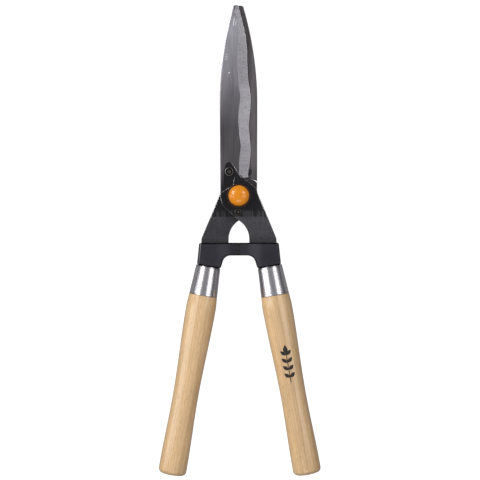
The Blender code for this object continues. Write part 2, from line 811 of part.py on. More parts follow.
def spring_washer_mesh():
    """A dished ring, its outer rim on z = 0."""
    inner, outer = BOLT_RADIUS + GAP, SPRING_WASHER_RADIUS
    sheet = SPRING_WASHER_SHEET
    dish = SPRING_WASHER_HEIGHT - sheet
    mesh = turned_mesh(
        [(outer, sheet), (outer, 0.0), (inner, dish), (inner, SPRING_WASHER_HEIGHT)],
        SMALL_TURN_STEPS,
    )
    shade(mesh)
    return mesh


def nut_mesh():
    """A self-locking hex nut standing on z = 0, with a groove under its rolled lip."""
    bore = BOLT_RADIUS + GAP
    groove = LOCK_RING_RADIUS + GAP
    body = turned_mesh(
        [
            (NUT_CROWN_RADIUS - NUT_EDGE, NUT_HEIGHT),
            (NUT_CROWN_RADIUS, NUT_HEIGHT - NUT_EDGE),
            (NUT_CROWN_RADIUS, NUT_CROWN_FOOT),
            (HEX_RADIUS, NUT_FLATS_HEIGHT),
            (HEX_RADIUS, NUT_EDGE),
            (HEX_RADIUS - HEX_CHAMFER, 0.0),
            (bore, 0.0),
            (bore, LOCK_RING_LOW - GAP),
            (groove, LOCK_RING_LOW - GAP),
            (groove, LOCK_RING_HIGH + GAP),
            (bore + GAP, NUT_HEIGHT),
        ],
        SMALL_TURN_STEPS * 2,
    )
    hexagon = temporary(cylinder_mesh(HEX_RADIUS, -NUT_EDGE, NUT_HEIGHT + NUT_EDGE, 6))
    made = combined(body, [hexagon], "INTERSECT")
    shade(made)
    return made


def lock_ring_mesh():
    mesh = ring_mesh(BOLT_RADIUS + GAP, LOCK_RING_RADIUS, LOCK_RING_HIGH - LOCK_RING_LOW)
    shade(mesh)
    return mesh


def dome(radius, top, rise, steps):
    """A quarter ellipse from the axis down to the radius."""
    points = []
    for k in range(steps + 1):
        angle = math.pi / 2.0 * k / steps
        points.append((radius * math.sin(angle), top - rise * (1.0 - math.cos(angle))))
    return points


def cap_mesh():
    """A domed cup open underneath, with an inner sleeve that grips the nut's corners."""
    grip_inner = HEX_RADIUS + GAP
    grip_outer = grip_inner + CAP_GRIP_WALL
    ceiling = dome(CAP_RADIUS - CAP_WALL, CAP_HEIGHT - CAP_WALL, CAP_DOME, 8)
    roof_at_grip = [z for radius, z in ceiling if radius >= grip_outer][0]
    grip_low = CAP_HEIGHT - CAP_WALL - CAP_DOME - CAP_GRIP_HEIGHT / 2.0
    outer = dome(CAP_RADIUS, CAP_HEIGHT, CAP_DOME, 8) + [(CAP_RADIUS, 0.0), (CAP_RADIUS - CAP_WALL, 0.0)]
    outside_grip = [point for point in reversed(ceiling) if point[0] > grip_outer]
    inside_grip = [point for point in reversed(ceiling) if point[0] < grip_inner]
    sleeve = [
        (grip_outer, roof_at_grip),
        (grip_outer, grip_low),
        (grip_inner, grip_low),
        (grip_inner, roof_at_grip),
    ]
    mesh = turned_mesh(outer + outside_grip + sleeve + inside_grip, CAP_TURN_STEPS)
    shade(mesh)
    return mesh


# --- Assembly ------------------------------------------------------------------------------------


def guide_empty(name, location, rotation=(0.0, 0.0, 0.0)):
    empty = bpy.data.objects.new(name, None)
    empty.location = location
    empty.rotation_euler = rotation
    bpy.context.scene.collection.objects.link(empty)
    return empty


def add_part(collection, name, mesh, finish, parent, location=(0.0, 0.0, 0.0), rotation=(0.0, 0.0, 0.0)):
    if not mesh.materials:
        mesh.materials.append(material(finish))
    obj = bpy.data.objects.new(name, mesh)
    obj.location = location
    obj.rotation_euler = rotation
    obj.parent = parent
    collection.objects.link(obj)


def add_halves(collection):
    """Places every piece of a half twice: as made, and turned over for the rear half."""
    hinge = (0.0, 0.0, SHEAR_PLANE_Z)
    front = guide_empty("front_half", hinge)
    rear = guide_empty("rear_half", hinge, (0.0, math.pi, 0.0))
    along_handle = (-math.pi / 2.0, 0.0, HANDLE_TILT)
    handle_top = (*HANDLE_TOP, 0.0)
    upper = (*UPPER_RIVET, 0.0)
    lower = (*LOWER_RIVET, 0.0)
    pieces = [
        ("front_blade", "rear_blade", blade_mesh(), "blade_steel", {}),
        ("front_arm", "rear_arm", arm_mesh(), "arm_paint", {}),
        ("front_upper_rivet", "rear_upper_rivet", upper_rivet_mesh(), "rivet_steel", {"location": upper}),
        ("front_lower_rivet", "rear_lower_rivet", lower_rivet_mesh(), "rivet_steel", {"location": lower}),
        ("right_collar", "left_collar", collar_mesh(), "collar_plastic", {}),
    ]
    on_axis = {"location": handle_top, "rotation": along_handle}
    pieces += [
        ("right_ferrule", "left_ferrule", ferrule_mesh(), "ferrule_chrome", on_axis),
        ("right_handle", "left_handle", handle_mesh(handle_top, along_handle), "handle_wood", on_axis),
    ]
    for front_name, rear_name, mesh, finish, place in pieces:
        add_part(collection, front_name, mesh, finish, front, **place)
        add_part(collection, rear_name, mesh, finish, rear, **place)


def add_pivot(collection):
    """The fasteners on the pivot axis, which all turn with the rear half."""
    axis = guide_empty("pivot_axis", (0.0, 0.0, 0.0))
    bore = BOLT_RADIUS + GAP
    bolt_washer = ring_mesh(bore, BOLT_WASHER_RADIUS, WASHER_THICKNESS)
    nut_washer = ring_mesh(bore, NUT_WASHER_RADIUS, WASHER_THICKNESS)
    shade(bolt_washer)
    shade(nut_washer)
    pieces = [
        ("pivot_bolt", bolt_mesh(), "fastener_steel", 0.0),
        ("bolt_washer", bolt_washer, "fastener_steel", REAR_WASHER_Z),
        ("nut_washer", nut_washer, "washer_black", FRONT_WASHER_Z),
        ("spring_washer", spring_washer_mesh(), "fastener_steel", SPRING_WASHER_Z),
        ("pivot_nut", nut_mesh(), "fastener_steel", NUT_Z),
        ("nut_lock_ring", lock_ring_mesh(), "lock_nylon", NUT_Z + LOCK_RING_LOW),
        ("pivot_cap", cap_mesh(), "cap_plastic", SPRING_WASHER_Z),
    ]
    for name, mesh, finish, height in pieces:
        add_part(collection, name, mesh, finish, axis, (0.0, 0.0, height))


def main():
    clear_scene()
    collection = new_collection("hedge_shears")
    add_halves(collection)
    add_pivot(collection)
    for mesh in list(bpy.data.meshes):
        if mesh.users == 0:
            bpy.data.meshes.remove(mesh)


main()
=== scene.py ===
"""The looks of the hedge shears: fine meshes, finishes and a studio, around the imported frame.

Metres, in the frame's own axes: +X across the shears, +Y towards the blade tips, +Z up out of the front
blade. Each piece of a half is made once, in half coordinates, whose z is measured from the plane between
the two blades, and is placed twice: as made on the front half, and turned over about the long axis on
the rear half.
"""

import json
import math

import bmesh
import bpy
from mathutils import Matrix, Vector


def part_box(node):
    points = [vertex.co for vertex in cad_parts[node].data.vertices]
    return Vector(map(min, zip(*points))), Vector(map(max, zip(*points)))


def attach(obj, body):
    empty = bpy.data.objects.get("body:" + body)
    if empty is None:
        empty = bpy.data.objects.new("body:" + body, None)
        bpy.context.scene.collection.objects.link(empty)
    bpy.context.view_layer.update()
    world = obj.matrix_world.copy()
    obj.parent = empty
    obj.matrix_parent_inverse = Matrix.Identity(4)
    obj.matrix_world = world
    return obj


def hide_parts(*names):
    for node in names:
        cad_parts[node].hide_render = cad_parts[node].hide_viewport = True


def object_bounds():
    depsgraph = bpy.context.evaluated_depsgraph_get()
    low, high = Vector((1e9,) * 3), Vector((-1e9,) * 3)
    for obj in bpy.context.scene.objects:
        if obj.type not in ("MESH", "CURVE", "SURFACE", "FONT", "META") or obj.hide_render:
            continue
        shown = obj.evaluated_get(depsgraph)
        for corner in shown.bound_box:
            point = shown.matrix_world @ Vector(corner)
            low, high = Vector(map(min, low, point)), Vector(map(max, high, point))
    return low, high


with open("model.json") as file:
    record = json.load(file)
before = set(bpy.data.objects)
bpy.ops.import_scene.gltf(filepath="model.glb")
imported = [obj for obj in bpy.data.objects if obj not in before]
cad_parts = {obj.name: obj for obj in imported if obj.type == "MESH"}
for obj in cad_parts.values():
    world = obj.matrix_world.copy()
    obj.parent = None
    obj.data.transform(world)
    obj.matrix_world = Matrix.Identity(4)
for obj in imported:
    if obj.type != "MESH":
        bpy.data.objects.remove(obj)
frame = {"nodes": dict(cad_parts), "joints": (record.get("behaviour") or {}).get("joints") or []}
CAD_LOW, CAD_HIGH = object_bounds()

# --- Dimensions ----------------------------------------------------------------------------------

HINGE = Vector(frame["joints"][0]["pos_m"])
GAP = 0.0003

# Heights in half coordinates, read off the front half's solids
BLADE_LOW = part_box("front_blade")[0].z - HINGE.z
BLADE_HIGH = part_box("front_blade")[1].z - HINGE.z
ARM_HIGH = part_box("front_arm")[1].z - HINGE.z
ARM_THICKNESS = 0.0035
ARM_LOW = ARM_HIGH - ARM_THICKNESS

# Blade outline and cutting edge
BLADE_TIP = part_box("front_blade")[1].y
BLADE_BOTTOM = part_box("front_blade")[0].y
TIP_CORNER = 0.0030
BELLY_Y = 0.1070
BELLY_HALF_WIDTH = 0.0214
TIP_CURVE = 1.33
HEEL_TAPER = 0.0058
WAVE_PITCH = 0.0560
WAVE_CREST = 0.0515
WAVE_HEIGHT = 0.0010
WAVE_TROUGHS = 1.5
EDGE_INSET = 0.00855
TIP_EDGE_INSET = 0.0057
TIP_EDGE_START = 0.1860
HEEL_TOP = 0.0222
HEEL_BOTTOM = 0.0154
HEEL_DIP = 0.0008
HEEL_DIP_TOP = 0.0340
SPINE_BREAK_WIDTH = 0.0013
SPINE_BREAK_DEPTH = 0.00014
SPINE_ROUNDING = 0.0003

# Ground band beside the cutting edge
GRIND_CUSP = 0.0565
GRIND_TROUGH_X = 0.00055
GRIND_LEAN = 0.0085
GRIND_SCALLOP = 0.0026
GRIND_TIP_WIDTH = 0.0060
GRIND_TAPER = 0.0650
HONED_WIDTH = 0.00016
HONED_ANGLE = math.radians(20.0)
GRIND_ANGLE = math.radians(9.0)
GRIND_RUN_OUT = 0.0014
GRIND_END_TOP = 0.0213
GRIND_END_BOTTOM = 0.0182

# Arm outline
HEAD_RADIUS = 0.0210
HEAD_ARC_END = 170.0
LOBE_TOP = 0.0380
RECESS_SIDE = -0.0049
RECESS_CORNER = 0.0118
RECESS_CORNER_RADIUS = 0.0080
RECESS_SLANT = 0.60
RECESS_REACH = 0.0300
RECESS_DEPTH = 0.0008
RECESS_SLOPE = 0.0012
CRANK_START = 0.0245
CRANK_LENGTH = 0.0220
CRANK_ROUNDING = 0.09
BOW_RADIUS = 0.0251
BOW_Y = -0.0490
BOW_HALF_WIDTH = 0.0117
SHOULDER = (0.0425, -0.0480)
TANG_HALF_WIDTH = 0.0050
TANG_TIP_HALF_WIDTH = 0.0028
TANG_LENGTH = 0.0900
TANG_NECK = 0.0100
ARM_IN_COLLAR = 0.0070
SHOULDER_LEAN = 0.0006
ARM_EDGE = 0.00075
LOBE_EDGE = 0.0007
RUBBED_HIGHLIGHT_WIDTH = 0.0014
# Corners of the arm as x, y and rounding: clockwise over the lobe to the shoulder, and back up to it
LOBE_TO_SHOULDER = [
    (-0.0136, LOBE_TOP, 0.0015),
    (-0.0076, LOBE_TOP, 0.0025),
    (0.0012, 0.0242, 0.0150),
    (0.0208, 0.0082, 0.0018),
    (0.0208, 0.0045, 0.0100),
    (*SHOULDER, 0.0025),
]
HEAD_TO_LOBE = [
    (-0.0205, 0.0064, 0.0010),
    (-0.0170, 0.0085, 0.0020),
    (-0.0170, 0.0280, 0.0060),
]

# Rivets: place, head radius and shank radius
BOLT_RADIUS = 0.0040
UPPER_RIVET = (-0.0108, 0.0274)
LOWER_RIVET = (-0.0009, -0.0180)
UPPER_RIVET_HEAD = 0.0050
LOWER_RIVET_HEAD = 0.0039
UPPER_RIVET_SHANK = 0.0028
LOWER_RIVET_SHANK = 0.0021
# The head's face from its middle out to the rim: share of the head's radius and depth below the rim
RIVET_FACE = [
    (0.0, 0.0011),
    (0.10, 0.00105),
    (0.20, 0.0006),
    (0.30, 0.0005),
    (0.52, 0.0005),
    (0.60, 0.0009),
    (0.66, 0.0006),
]
RIVET_RIM_HEIGHT = 0.0013
RIVET_FOOT_DEPTH = 0.0012
RIVET_FOOT_FLARE = 0.0012
BLADE_TONGUE_RADIUS = 0.0054

# Collar outline
COLLAR_TOP = -0.0530
COLLAR_BAR_BOTTOM = -0.0674
COLLAR_OUTER_TOP = 0.0449
COLLAR_OUTER_BOTTOM = (0.0474, -0.0772)
COLLAR_FOOT_WIDTH = 0.0270
COLLAR_ARCH_X = 0.0166
COLLAR_ARCH_RADIUS = 0.0095
COLLAR_HALF_DEPTH = 0.0122
COLLAR_BAR_DEPTH_SHARE = 0.66
COLLAR_BLEND = (0.0080, 0.0280)
COLLAR_EDGE = 0.0017
COLLAR_SIDE_LEAN = (COLLAR_OUTER_TOP - COLLAR_OUTER_BOTTOM[0]) / (COLLAR_TOP - COLLAR_OUTER_BOTTOM[1])
STOP_GAP = 0.00003
STOP_GROOVE_WIDTH = 0.0007
STOP_GROOVE_DEPTH = 0.0024

# Handle and ferrule, measured along the handle from the collar's foot
HANDLE_TILT = math.radians(10.15)
HANDLE_TOP = (0.0349, -0.0795)
FERRULE_LENGTH = 0.0335
FERRULE_TOP_RADIUS = 0.0138
FERRULE_FOOT_RADIUS = 0.0160
FERRULE_WALL = 0.0009
HANDLE_SHOULDER_RADIUS = 0.0161
HANDLE_BULGE = (0.0460, 0.0169)
HANDLE_WAIST = (0.1520, 0.0144)
HANDLE_PALM_SWELL = (0.2280, 0.01582)
HANDLE_LENGTH = 0.23924
HANDLE_END_ROUNDING = 0.0050
HANDLE_OVAL = HINGE.z / HANDLE_BULGE[1]
HANDLE_DIRECTION = Vector((math.sin(HANDLE_TILT), -math.cos(HANDLE_TILT)))
HANDLE_ACROSS = Vector((math.cos(HANDLE_TILT), math.sin(HANDLE_TILT)))
# From a handle's own axes, where -Z runs down the handle and -Y is up, to half coordinates
ALONG_HANDLE = Matrix.Translation((*HANDLE_TOP, 0.0)) @ (
    Matrix.Rotation(HANDLE_TILT, 4, "Z") @ Matrix.Rotation(-math.pi / 2.0, 4, "X")
)

# Pivot cap
CAP_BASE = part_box("pivot_cap")[0].z
CAP_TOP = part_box("pivot_cap")[1].z
CAP_RADIUS = 0.0116
CAP_DOME = 0.0056
CAP_WALL = 0.0015
CAP_LIP = 0.0005
FASTENER_EDGE = 0.00022

# Printed sprig on the right handle, from its foot to its top along the handle
SPRIG_FOOT = 0.1330
SPRIG_TOP = 0.0900
SPRIG_PAIRS = 4
SPRIG_LEAF_LENGTH = 0.0096
SPRIG_LEAF_WIDTH = 0.0026
SPRIG_LEAF_ANGLE = math.radians(48.0)
SPRIG_STEM_WIDTH = 0.00045
INK_THICKNESS = 0.00004

# How finely round shapes are divided, and how far a cutter reaches past what it cuts
TURN_STEPS = 96
HOLE_STEPS = 48
CUTTER_PAST = 0.0060

FRONT_PLACE = Matrix.Translation(HINGE)
REAR_PLACE = FRONT_PLACE @ Matrix.Rotation(math.pi, 4, "Y")


# --- Shape helpers -------------------------------------------------------------------------------


def smooth(t):
    """0 to 1 with level ends, and flat outside them."""
    t = min(max(t, 0.0), 1.0)
    return t * t * (3.0 - 2.0 * t)


def between(low, high, t):
    return low + (high - low) * t


def arc(centre, radius, start, end, steps):
    """Points along a circle from one angle to another, in degrees."""
    points = []
    for i in range(steps + 1):
        angle = math.radians(between(start, end, i / steps))
        points.append((centre[0] + radius * math.cos(angle), centre[1] + radius * math.sin(angle)))
    return points


def circle(centre, radius):
    return arc(centre, radius, 0.0, 360.0, HOLE_STEPS)[:-1]


def rounded(corners, steps=8):
    """An outline from (x, y, radius) corners. A radius of 0 keeps the corner sharp."""
    points = []
    for i, (x, y, radius) in enumerate(corners):
        corner = Vector((x, y))
        if radius == 0.0:
            points.append((x, y))
            continue
        before = (Vector(corners[i - 1][:2]) - corner).normalized()
        after = (Vector(corners[(i + 1) % len(corners)][:2]) - corner).normalized()
        half_angle = before.angle(after) / 2.0
        centre = corner + (before + after).normalized() * radius / math.sin(half_angle)
        reach = radius / math.tan(half_angle)
        start = corner + before * reach - centre
        turn = start.angle_signed(corner + after * reach - centre)
        for k in range(steps + 1):
            spoke = start.copy()
            spoke.rotate(Matrix.Rotation(-turn * k / steps, 2))
            points.append(tuple(centre + spoke))
    return points


def sharp(points):
    """Plain points as corners for rounded()."""
    return [(x, y, 0.0) for x, y in points]


def linked(name, data, matrix=None):
    obj = bpy.data.objects.new(name, data)
    bpy.context.scene.collection.objects.link(obj)
    if matrix is not None:
        obj.matrix_world = matrix
    return obj


def settled(obj):
    """The object's mesh with its modifiers applied. The object itself is removed."""
    graph = bpy.context.evaluated_depsgraph_get()
    graph.update()
    mesh = bpy.data.meshes.new_from_object(obj.evaluated_get(graph), depsgraph=graph)
    bpy.data.objects.remove(obj)
    return mesh


def mesh_from(bm, name):
    bmesh.ops.recalc_face_normals(bm, faces=bm.faces)
    mesh = bpy.data.meshes.new(name)
    written(bm, mesh)
    return mesh


def plate(outlines, thickness, edge=0.0, edge_steps=2):
    """A flat plate centred on z = 0, with the outlines after the first as holes, and rounded edges."""
    curve = bpy.data.curves.new("plate", "CURVE")
    curve.dimensions = "2D"
    curve.fill_mode = "BOTH"
    curve.extrude = thickness / 2.0 - edge
    curve.bevel_depth = edge
    curve.bevel_resolution = edge_steps
    curve.offset = -edge
    for outline in outlines:
        spline = curve.splines.new("POLY")
        spline.points.add(len(outline) - 1)
        for point, (x, y) in zip(spline.points, outline):
            point.co = (x, y, 0.0, 1.0)
        spline.use_cyclic_u = True
    bm = bmesh.new()
    bm.from_mesh(settled(linked("plate", curve)))
    bmesh.ops.remove_doubles(bm, verts=bm.verts, dist=1e-6)
    return mesh_from(bm, "plate")


def turned(profile, oval=1.0, steps=TURN_STEPS):
    """A solid of revolution about Z from (radius, z) points. A profile off the axis closes on itself."""
    bm = bmesh.new()
    rings = []
    for radius, z in profile:
        if radius == 0.0:
            rings.append([bm.verts.new((0.0, 0.0, z))] * steps)
            continue
        ring = []
        for i in range(steps):
            angle = 2.0 * math.pi * i / steps
            ring.append(bm.verts.new((radius * math.cos(angle), radius * math.sin(angle) * oval, z)))
        rings.append(ring)
    pairs = list(zip(rings, rings[1:]))
    if profile[0][0] > 0.0:
        pairs.append((rings[-1], rings[0]))
    for near, far in pairs:
        for i in range(steps):
            j = (i + 1) % steps
            corners = dict.fromkeys((near[i], near[j], far[j], far[i]))
            bm.faces.new(list(corners))
    return mesh_from(bm, "turned")


def combined(mesh, cutters, operation="DIFFERENCE"):
    """The mesh after one exact Boolean with each of the cutters, which are used up."""
    obj = linked("cut", mesh)
    for cutter in cutters:
        modifier = obj.modifiers.new("cut", "BOOLEAN")
        modifier.operation = operation
        modifier.solver = "EXACT"
        modifier.object = cutter
    made = settled(obj)
    for cutter in cutters:
        bpy.data.objects.remove(cutter)
    return made


def edited(mesh):
    bm = bmesh.new()
    bm.from_mesh(mesh)
    return bm


def written(bm, mesh):
    bm.to_mesh(mesh)
    bm.free()


def bisected(bm, normal, place, **settings):
    geometry = bm.verts[:] + bm.edges[:] + bm.faces[:]
    bmesh.ops.bisect_plane(
        bm, geom=geometry, dist=1e-7, plane_co=normal * place, plane_no=normal, **settings
    )


def cut_along(mesh, axis, places):
    """Adds edges to the mesh where it crosses these places on an axis, so that it can bend there."""
    bm = edited(mesh)
    normal = Vector((0.0, 0.0, 0.0))
    normal[axis] = 1.0
    for place in places:
        bisected(bm, normal, place)
    written(bm, mesh)


def add_bevel(obj, width, segments, angle):
    """Rounds the object's edges that are sharper than the angle, in degrees."""
    bevel = obj.modifiers.new("edges", "BEVEL")
    bevel.width = width
    bevel.segments = segments
    bevel.limit_method = "ANGLE"
    bevel.angle_limit = math.radians(angle)
    return bevel


def shaded(mesh, angle=35.0):
    mesh.shade_smooth()
    mesh.set_sharp_from_angle(angle=math.radians(angle))
    return mesh


def set_slots(mesh, count):
    mesh.materials.clear()
    for _ in range(count):
        mesh.materials.append(None)


# --- Blade ---------------------------------------------------------------------------------------


def blade_half_width(y):
    """The outer side: nearly straight to the belly, then a parabola to the tip."""
    if y > BELLY_Y:
        return BELLY_HALF_WIDTH - TIP_CURVE * (y - BELLY_Y) ** 2
    return BELLY_HALF_WIDTH - HEEL_TAPER * (BELLY_Y - y)


def heel_flare(y):
    """0 along the cutting edge, rising to 1 where the blade has its full width at the heel."""
    return smooth((HEEL_TOP - y) / (HEEL_TOP - HEEL_BOTTOM))


def blade_edge(y):
    """The cutting edge: a wave that dies away to the tip, with a dip and then a flare at the heel."""
    wave_end = WAVE_CREST + WAVE_TROUGHS * WAVE_PITCH
    phase = 2.0 * math.pi * (min(y, wave_end) - WAVE_CREST) / WAVE_PITCH
    inset = EDGE_INSET - WAVE_HEIGHT * math.cos(phase)
    to_tip = smooth((y - wave_end) / (TIP_EDGE_START - wave_end))
    inset = between(inset, TIP_EDGE_INSET, to_tip)
    inset += HEEL_DIP * smooth((HEEL_DIP_TOP - y) / (HEEL_DIP_TOP - HEEL_TOP))
    return blade_half_width(y) - inset * (1.0 - heel_flare(y))


def grind_line(y):
    """The inner border of the ground band: scallops, sweeping out to the edge just above the heel."""
    taper_start = GRIND_CUSP + WAVE_TROUGHS * WAVE_PITCH
    trough_x = GRIND_TROUGH_X - GRIND_LEAN * min(y, taper_start)
    if y > taper_start:
        width = blade_edge(taper_start) - trough_x
        taper = smooth((y - taper_start) / GRIND_TAPER)
        return blade_edge(y) - between(width, GRIND_TIP_WIDTH, taper)
    scallop = 1.0 - abs(math.sin(math.pi * (y - GRIND_CUSP) / WAVE_PITCH))
    line = trough_x + GRIND_SCALLOP * scallop
    run_out = smooth((GRIND_END_TOP - y) / (GRIND_END_TOP - GRIND_END_BOTTOM))
    return between(line, blade_edge(y) - GRIND_RUN_OUT, run_out)


def base_extent(y):
    """The blade's base below the pivot: a round head joined by tangents to a tongue at the rivet."""
    head = blade_half_width(0.0)
    left, right = 0.0, 0.0
    steps = 60
    for i in range(steps + 1):
        t = i / steps
        radius = between(head, BLADE_TONGUE_RADIUS, t)
        centre_x = between(0.0, LOWER_RIVET[0], t)
        rise = y - between(0.0, LOWER_RIVET[1], t)
        if abs(rise) < radius:
            half = math.sqrt(radius * radius - rise * rise)
            left = min(left, centre_x - half)
            right = max(right, centre_x + half)
    return left, right


def blade_stations():
    """Where the blade's cross-sections stand, closer together where the outline turns."""
    base_count = 16
    base = []
    for k in range(base_count):
        base.append(BLADE_BOTTOM * math.cos(math.pi / 2.0 * (k + 0.3) / (base_count + 0.3)))
    wave_start = GRIND_CUSP - WAVE_PITCH / 2.0
    heel = [0.0, HEEL_BOTTOM / 2.0]
    heel += [between(HEEL_BOTTOM, HEEL_TOP, k / 24.0) for k in range(25)]
    heel += [between(HEEL_TOP, wave_start, k / 4.0) for k in range(1, 4)]
    wave = [wave_start + WAVE_PITCH * k / 36.0 for k in range(73)]
    corner_start = BLADE_TIP - TIP_CORNER
    taper = [between(wave[-1], corner_start, k / 36.0) for k in range(1, 37)]
    corner = [corner_start + TIP_CORNER * math.sin(math.pi / 2.0 * k / 6.0) for k in range(1, 7)]
    return base + heel + wave + taper + corner


def blade_section(y):
    """The outline of the cross-section at y, from the spine's foot round by the edge to the spine."""
    if y < 0.0:
        left, right = base_extent(y)
        inner = right - GRIND_RUN_OUT
    else:
        corner_start = BLADE_TIP - TIP_CORNER
        rise = max(y - corner_start, 0.0)
        rounding = TIP_CORNER - math.sqrt(max(TIP_CORNER**2 - rise**2, 0.0))
        left = rounding - blade_half_width(min(y, corner_start))
        right = blade_edge(min(y, corner_start)) - rounding / 2.0
        inner = grind_line(min(y, corner_start)) + rounding / 2.0
    break_inner = left + SPINE_BREAK_WIDTH
    inner = max(inner, break_inner + GRIND_RUN_OUT)
    edge_top = BLADE_HIGH - (right - inner) * math.tan(GRIND_ANGLE)
    points = arc((left + SPINE_ROUNDING, BLADE_LOW + SPINE_ROUNDING), SPINE_ROUNDING, 180.0, 270.0, 3)
    honed_drop = HONED_WIDTH * (math.tan(HONED_ANGLE) - math.tan(GRIND_ANGLE))
    points += [(right, BLADE_LOW), (right, edge_top - honed_drop)]
    points += [(right - HONED_WIDTH, edge_top + HONED_WIDTH * math.tan(GRIND_ANGLE))]
    points += [(inner, BLADE_HIGH), (break_inner, BLADE_HIGH)]
    broken = BLADE_HIGH - SPINE_BREAK_DEPTH - SPINE_ROUNDING
    points += arc((left + SPINE_ROUNDING, broken), SPINE_ROUNDING, 90.0, 180.0, 3)
    return [Vector((x, y, z)) for x, z in points]


def lofted(sections):
    """A skin over a row of closed cross-sections with the same number of points, with flat ends."""
    bm = bmesh.new()
    rings = [[bm.verts.new(point) for point in section] for section in sections]
    count = len(rings[0])
    for near, far in zip(rings, rings[1:]):
        for i in range(count):
            j = (i + 1) % count
            bm.faces.new((near[i], near[j], far[j], far[i]))
    bm.faces.new(rings[0])
    bm.faces.new(rings[-1])
    return mesh_from(bm, "loft")


def rivet_hole(place, shank):
    """A cutter for a rivet's hole through the blade, countersunk on the face between the blades."""
    bore = shank + GAP
    mouth = bore + RIVET_FOOT_FLARE
    profile = [
        (0.0, BLADE_HIGH + CUTTER_PAST),
        (bore, BLADE_HIGH + CUTTER_PAST),
        (bore, BLADE_LOW + RIVET_FOOT_DEPTH + GAP),
        (mouth, BLADE_LOW + GAP),
        (mouth, BLADE_LOW - CUTTER_PAST),
        (0.0, BLADE_LOW - CUTTER_PAST),
    ]
    return linked("hole", turned(profile, steps=HOLE_STEPS), Matrix.Translation((*place, 0.0)))


def pivot_hole():
    bore = BOLT_RADIUS + GAP
    profile = [(0.0, CUTTER_PAST), (bore, CUTTER_PAST), (bore, -CUTTER_PAST), (0.0, -CUTTER_PAST)]
    return linked("hole", turned(profile, steps=HOLE_STEPS))


def blade_mesh():
    """The face and spine are slot 0, the ground band slot 1 and the face between the blades slot 2."""
    body = lofted([blade_section(y) for y in blade_stations()])
    holes = [
        pivot_hole(),
        rivet_hole(UPPER_RIVET, UPPER_RIVET_SHANK),
        rivet_hole(LOWER_RIVET, LOWER_RIVET_SHANK),
    ]
    mesh = combined(body, holes)
    set_slots(mesh, 3)
    margin = 0.00005
    for face in mesh.polygons:
        x, y, z = face.center
        if face.normal.z < -0.9:
            face.material_index = 2
        elif face.normal.z > 0.5 and y > HEEL_BOTTOM and x > grind_line(min(y, BLADE_TIP)) - margin:
            face.material_index = 1
    return shaded(mesh, 6.0)


# --- Arm -----------------------------------------------------------------------------------------


def tang_corners(grow):
    """The arm from its shoulder through the collar to the tang's tip, each side moved out by grow."""
    top = Vector(HANDLE_TOP)
    neck = top - HANDLE_DIRECTION * TANG_NECK
    tip = top + HANDLE_DIRECTION * (TANG_LENGTH + grow)
    wide = HANDLE_ACROSS * (TANG_HALF_WIDTH + grow)
    narrow = HANDLE_ACROSS * (TANG_TIP_HALF_WIDTH + grow)
    inside_collar = COLLAR_TOP - ARM_IN_COLLAR
    return [
        (SHOULDER[0] + SHOULDER_LEAN + grow, inside_collar, 0.003),
        (*(neck + wide), 0.004),
        (*(tip + narrow), 0.001),
        (*(tip - narrow), 0.001),
        (*(neck - wide), 0.004),
        (BOW_HALF_WIDTH - grow, inside_collar, 0.003),
    ]


def arm_outline():
    """Clockwise from the top of the lobe that holds the upper rivet."""
    bow_centre = (BOW_HALF_WIDTH - BOW_RADIUS, BOW_Y)
    apex_angle = math.degrees(math.acos(-bow_centre[0] / BOW_RADIUS))
    apex = arc(bow_centre, BOW_RADIUS, apex_angle, apex_angle, 1)[0]
    apex_bearing = math.degrees(math.atan2(apex[1], apex[0]))
    tangent_angle = math.degrees(math.acos(HEAD_RADIUS / math.hypot(*apex)))
    head_start = apex_bearing + 360.0 - tangent_angle
    corners = LOBE_TO_SHOULDER + tang_corners(0.0)
    corners += sharp(arc(bow_centre, BOW_RADIUS, 0.0, apex_angle, 24))
    corners += sharp(arc((0.0, 0.0), HEAD_RADIUS, head_start, HEAD_ARC_END, 20))
    return rounded(corners + HEAD_TO_LOBE)


def crank(y):
    """How far the arm has stepped down at y, from 0 on the head to 1 in the collar."""
    t = (-y - CRANK_START) / CRANK_LENGTH
    if t <= -CRANK_ROUNDING:
        return 0.0
    if t < CRANK_ROUNDING:
        return (t + CRANK_ROUNDING) ** 2 / (4.0 * CRANK_ROUNDING)
    if t < 1.0 - CRANK_ROUNDING:
        return t
    if t < 1.0 + CRANK_ROUNDING:
        return 1.0 - (1.0 + CRANK_ROUNDING - t) ** 2 / (4.0 * CRANK_ROUNDING)
    return 1.0


def crank_lines():
    """Where the plate is divided so that it can bend: across each of the crank's two bends."""
    lines = []
    for bend in (0.0, 1.0):
        for step in range(9):
            lines.append(-CRANK_START - CRANK_LENGTH * (bend + (step / 4.0 - 1.0) * CRANK_ROUNDING))
    return lines


def recess_cutter():
    """The shallow step beside the pivot boss. Its wall slopes round the boss and is upright above it."""
    far_side = RECESS_SIDE - RECESS_REACH
    far_top = LOBE_TOP + RECESS_REACH
    upright_from = RECESS_CORNER + RECESS_CORNER_RADIUS + 0.002
    outline = rounded(
        [
            (far_side, RECESS_CORNER - RECESS_SLANT * RECESS_REACH, 0.0),
            (RECESS_SIDE, RECESS_CORNER, RECESS_CORNER_RADIUS),
            (RECESS_SIDE, upright_from, 0.0),
            (RECESS_SIDE, far_top, 0.0),
            (far_side, far_top, 0.0),
        ],
        steps=24,
    )
    mesh = plate([outline], 2.0 * RECESS_SLOPE, RECESS_SLOPE, 1)
    clearance = 0.00005
    flatten = Matrix.Diagonal((1.0, 1.0, (RECESS_DEPTH + clearance) / RECESS_SLOPE, 1.0))
    mesh.transform(Matrix.Translation((0.0, 0.0, ARM_HIGH + clearance)) @ flatten)
    for vertex in mesh.vertices:
        if vertex.co.y > upright_from - clearance and vertex.co.x > RECESS_SIDE - 2.0 * RECESS_SLOPE:
            vertex.co.x = RECESS_SIDE
    return linked("recess", mesh)


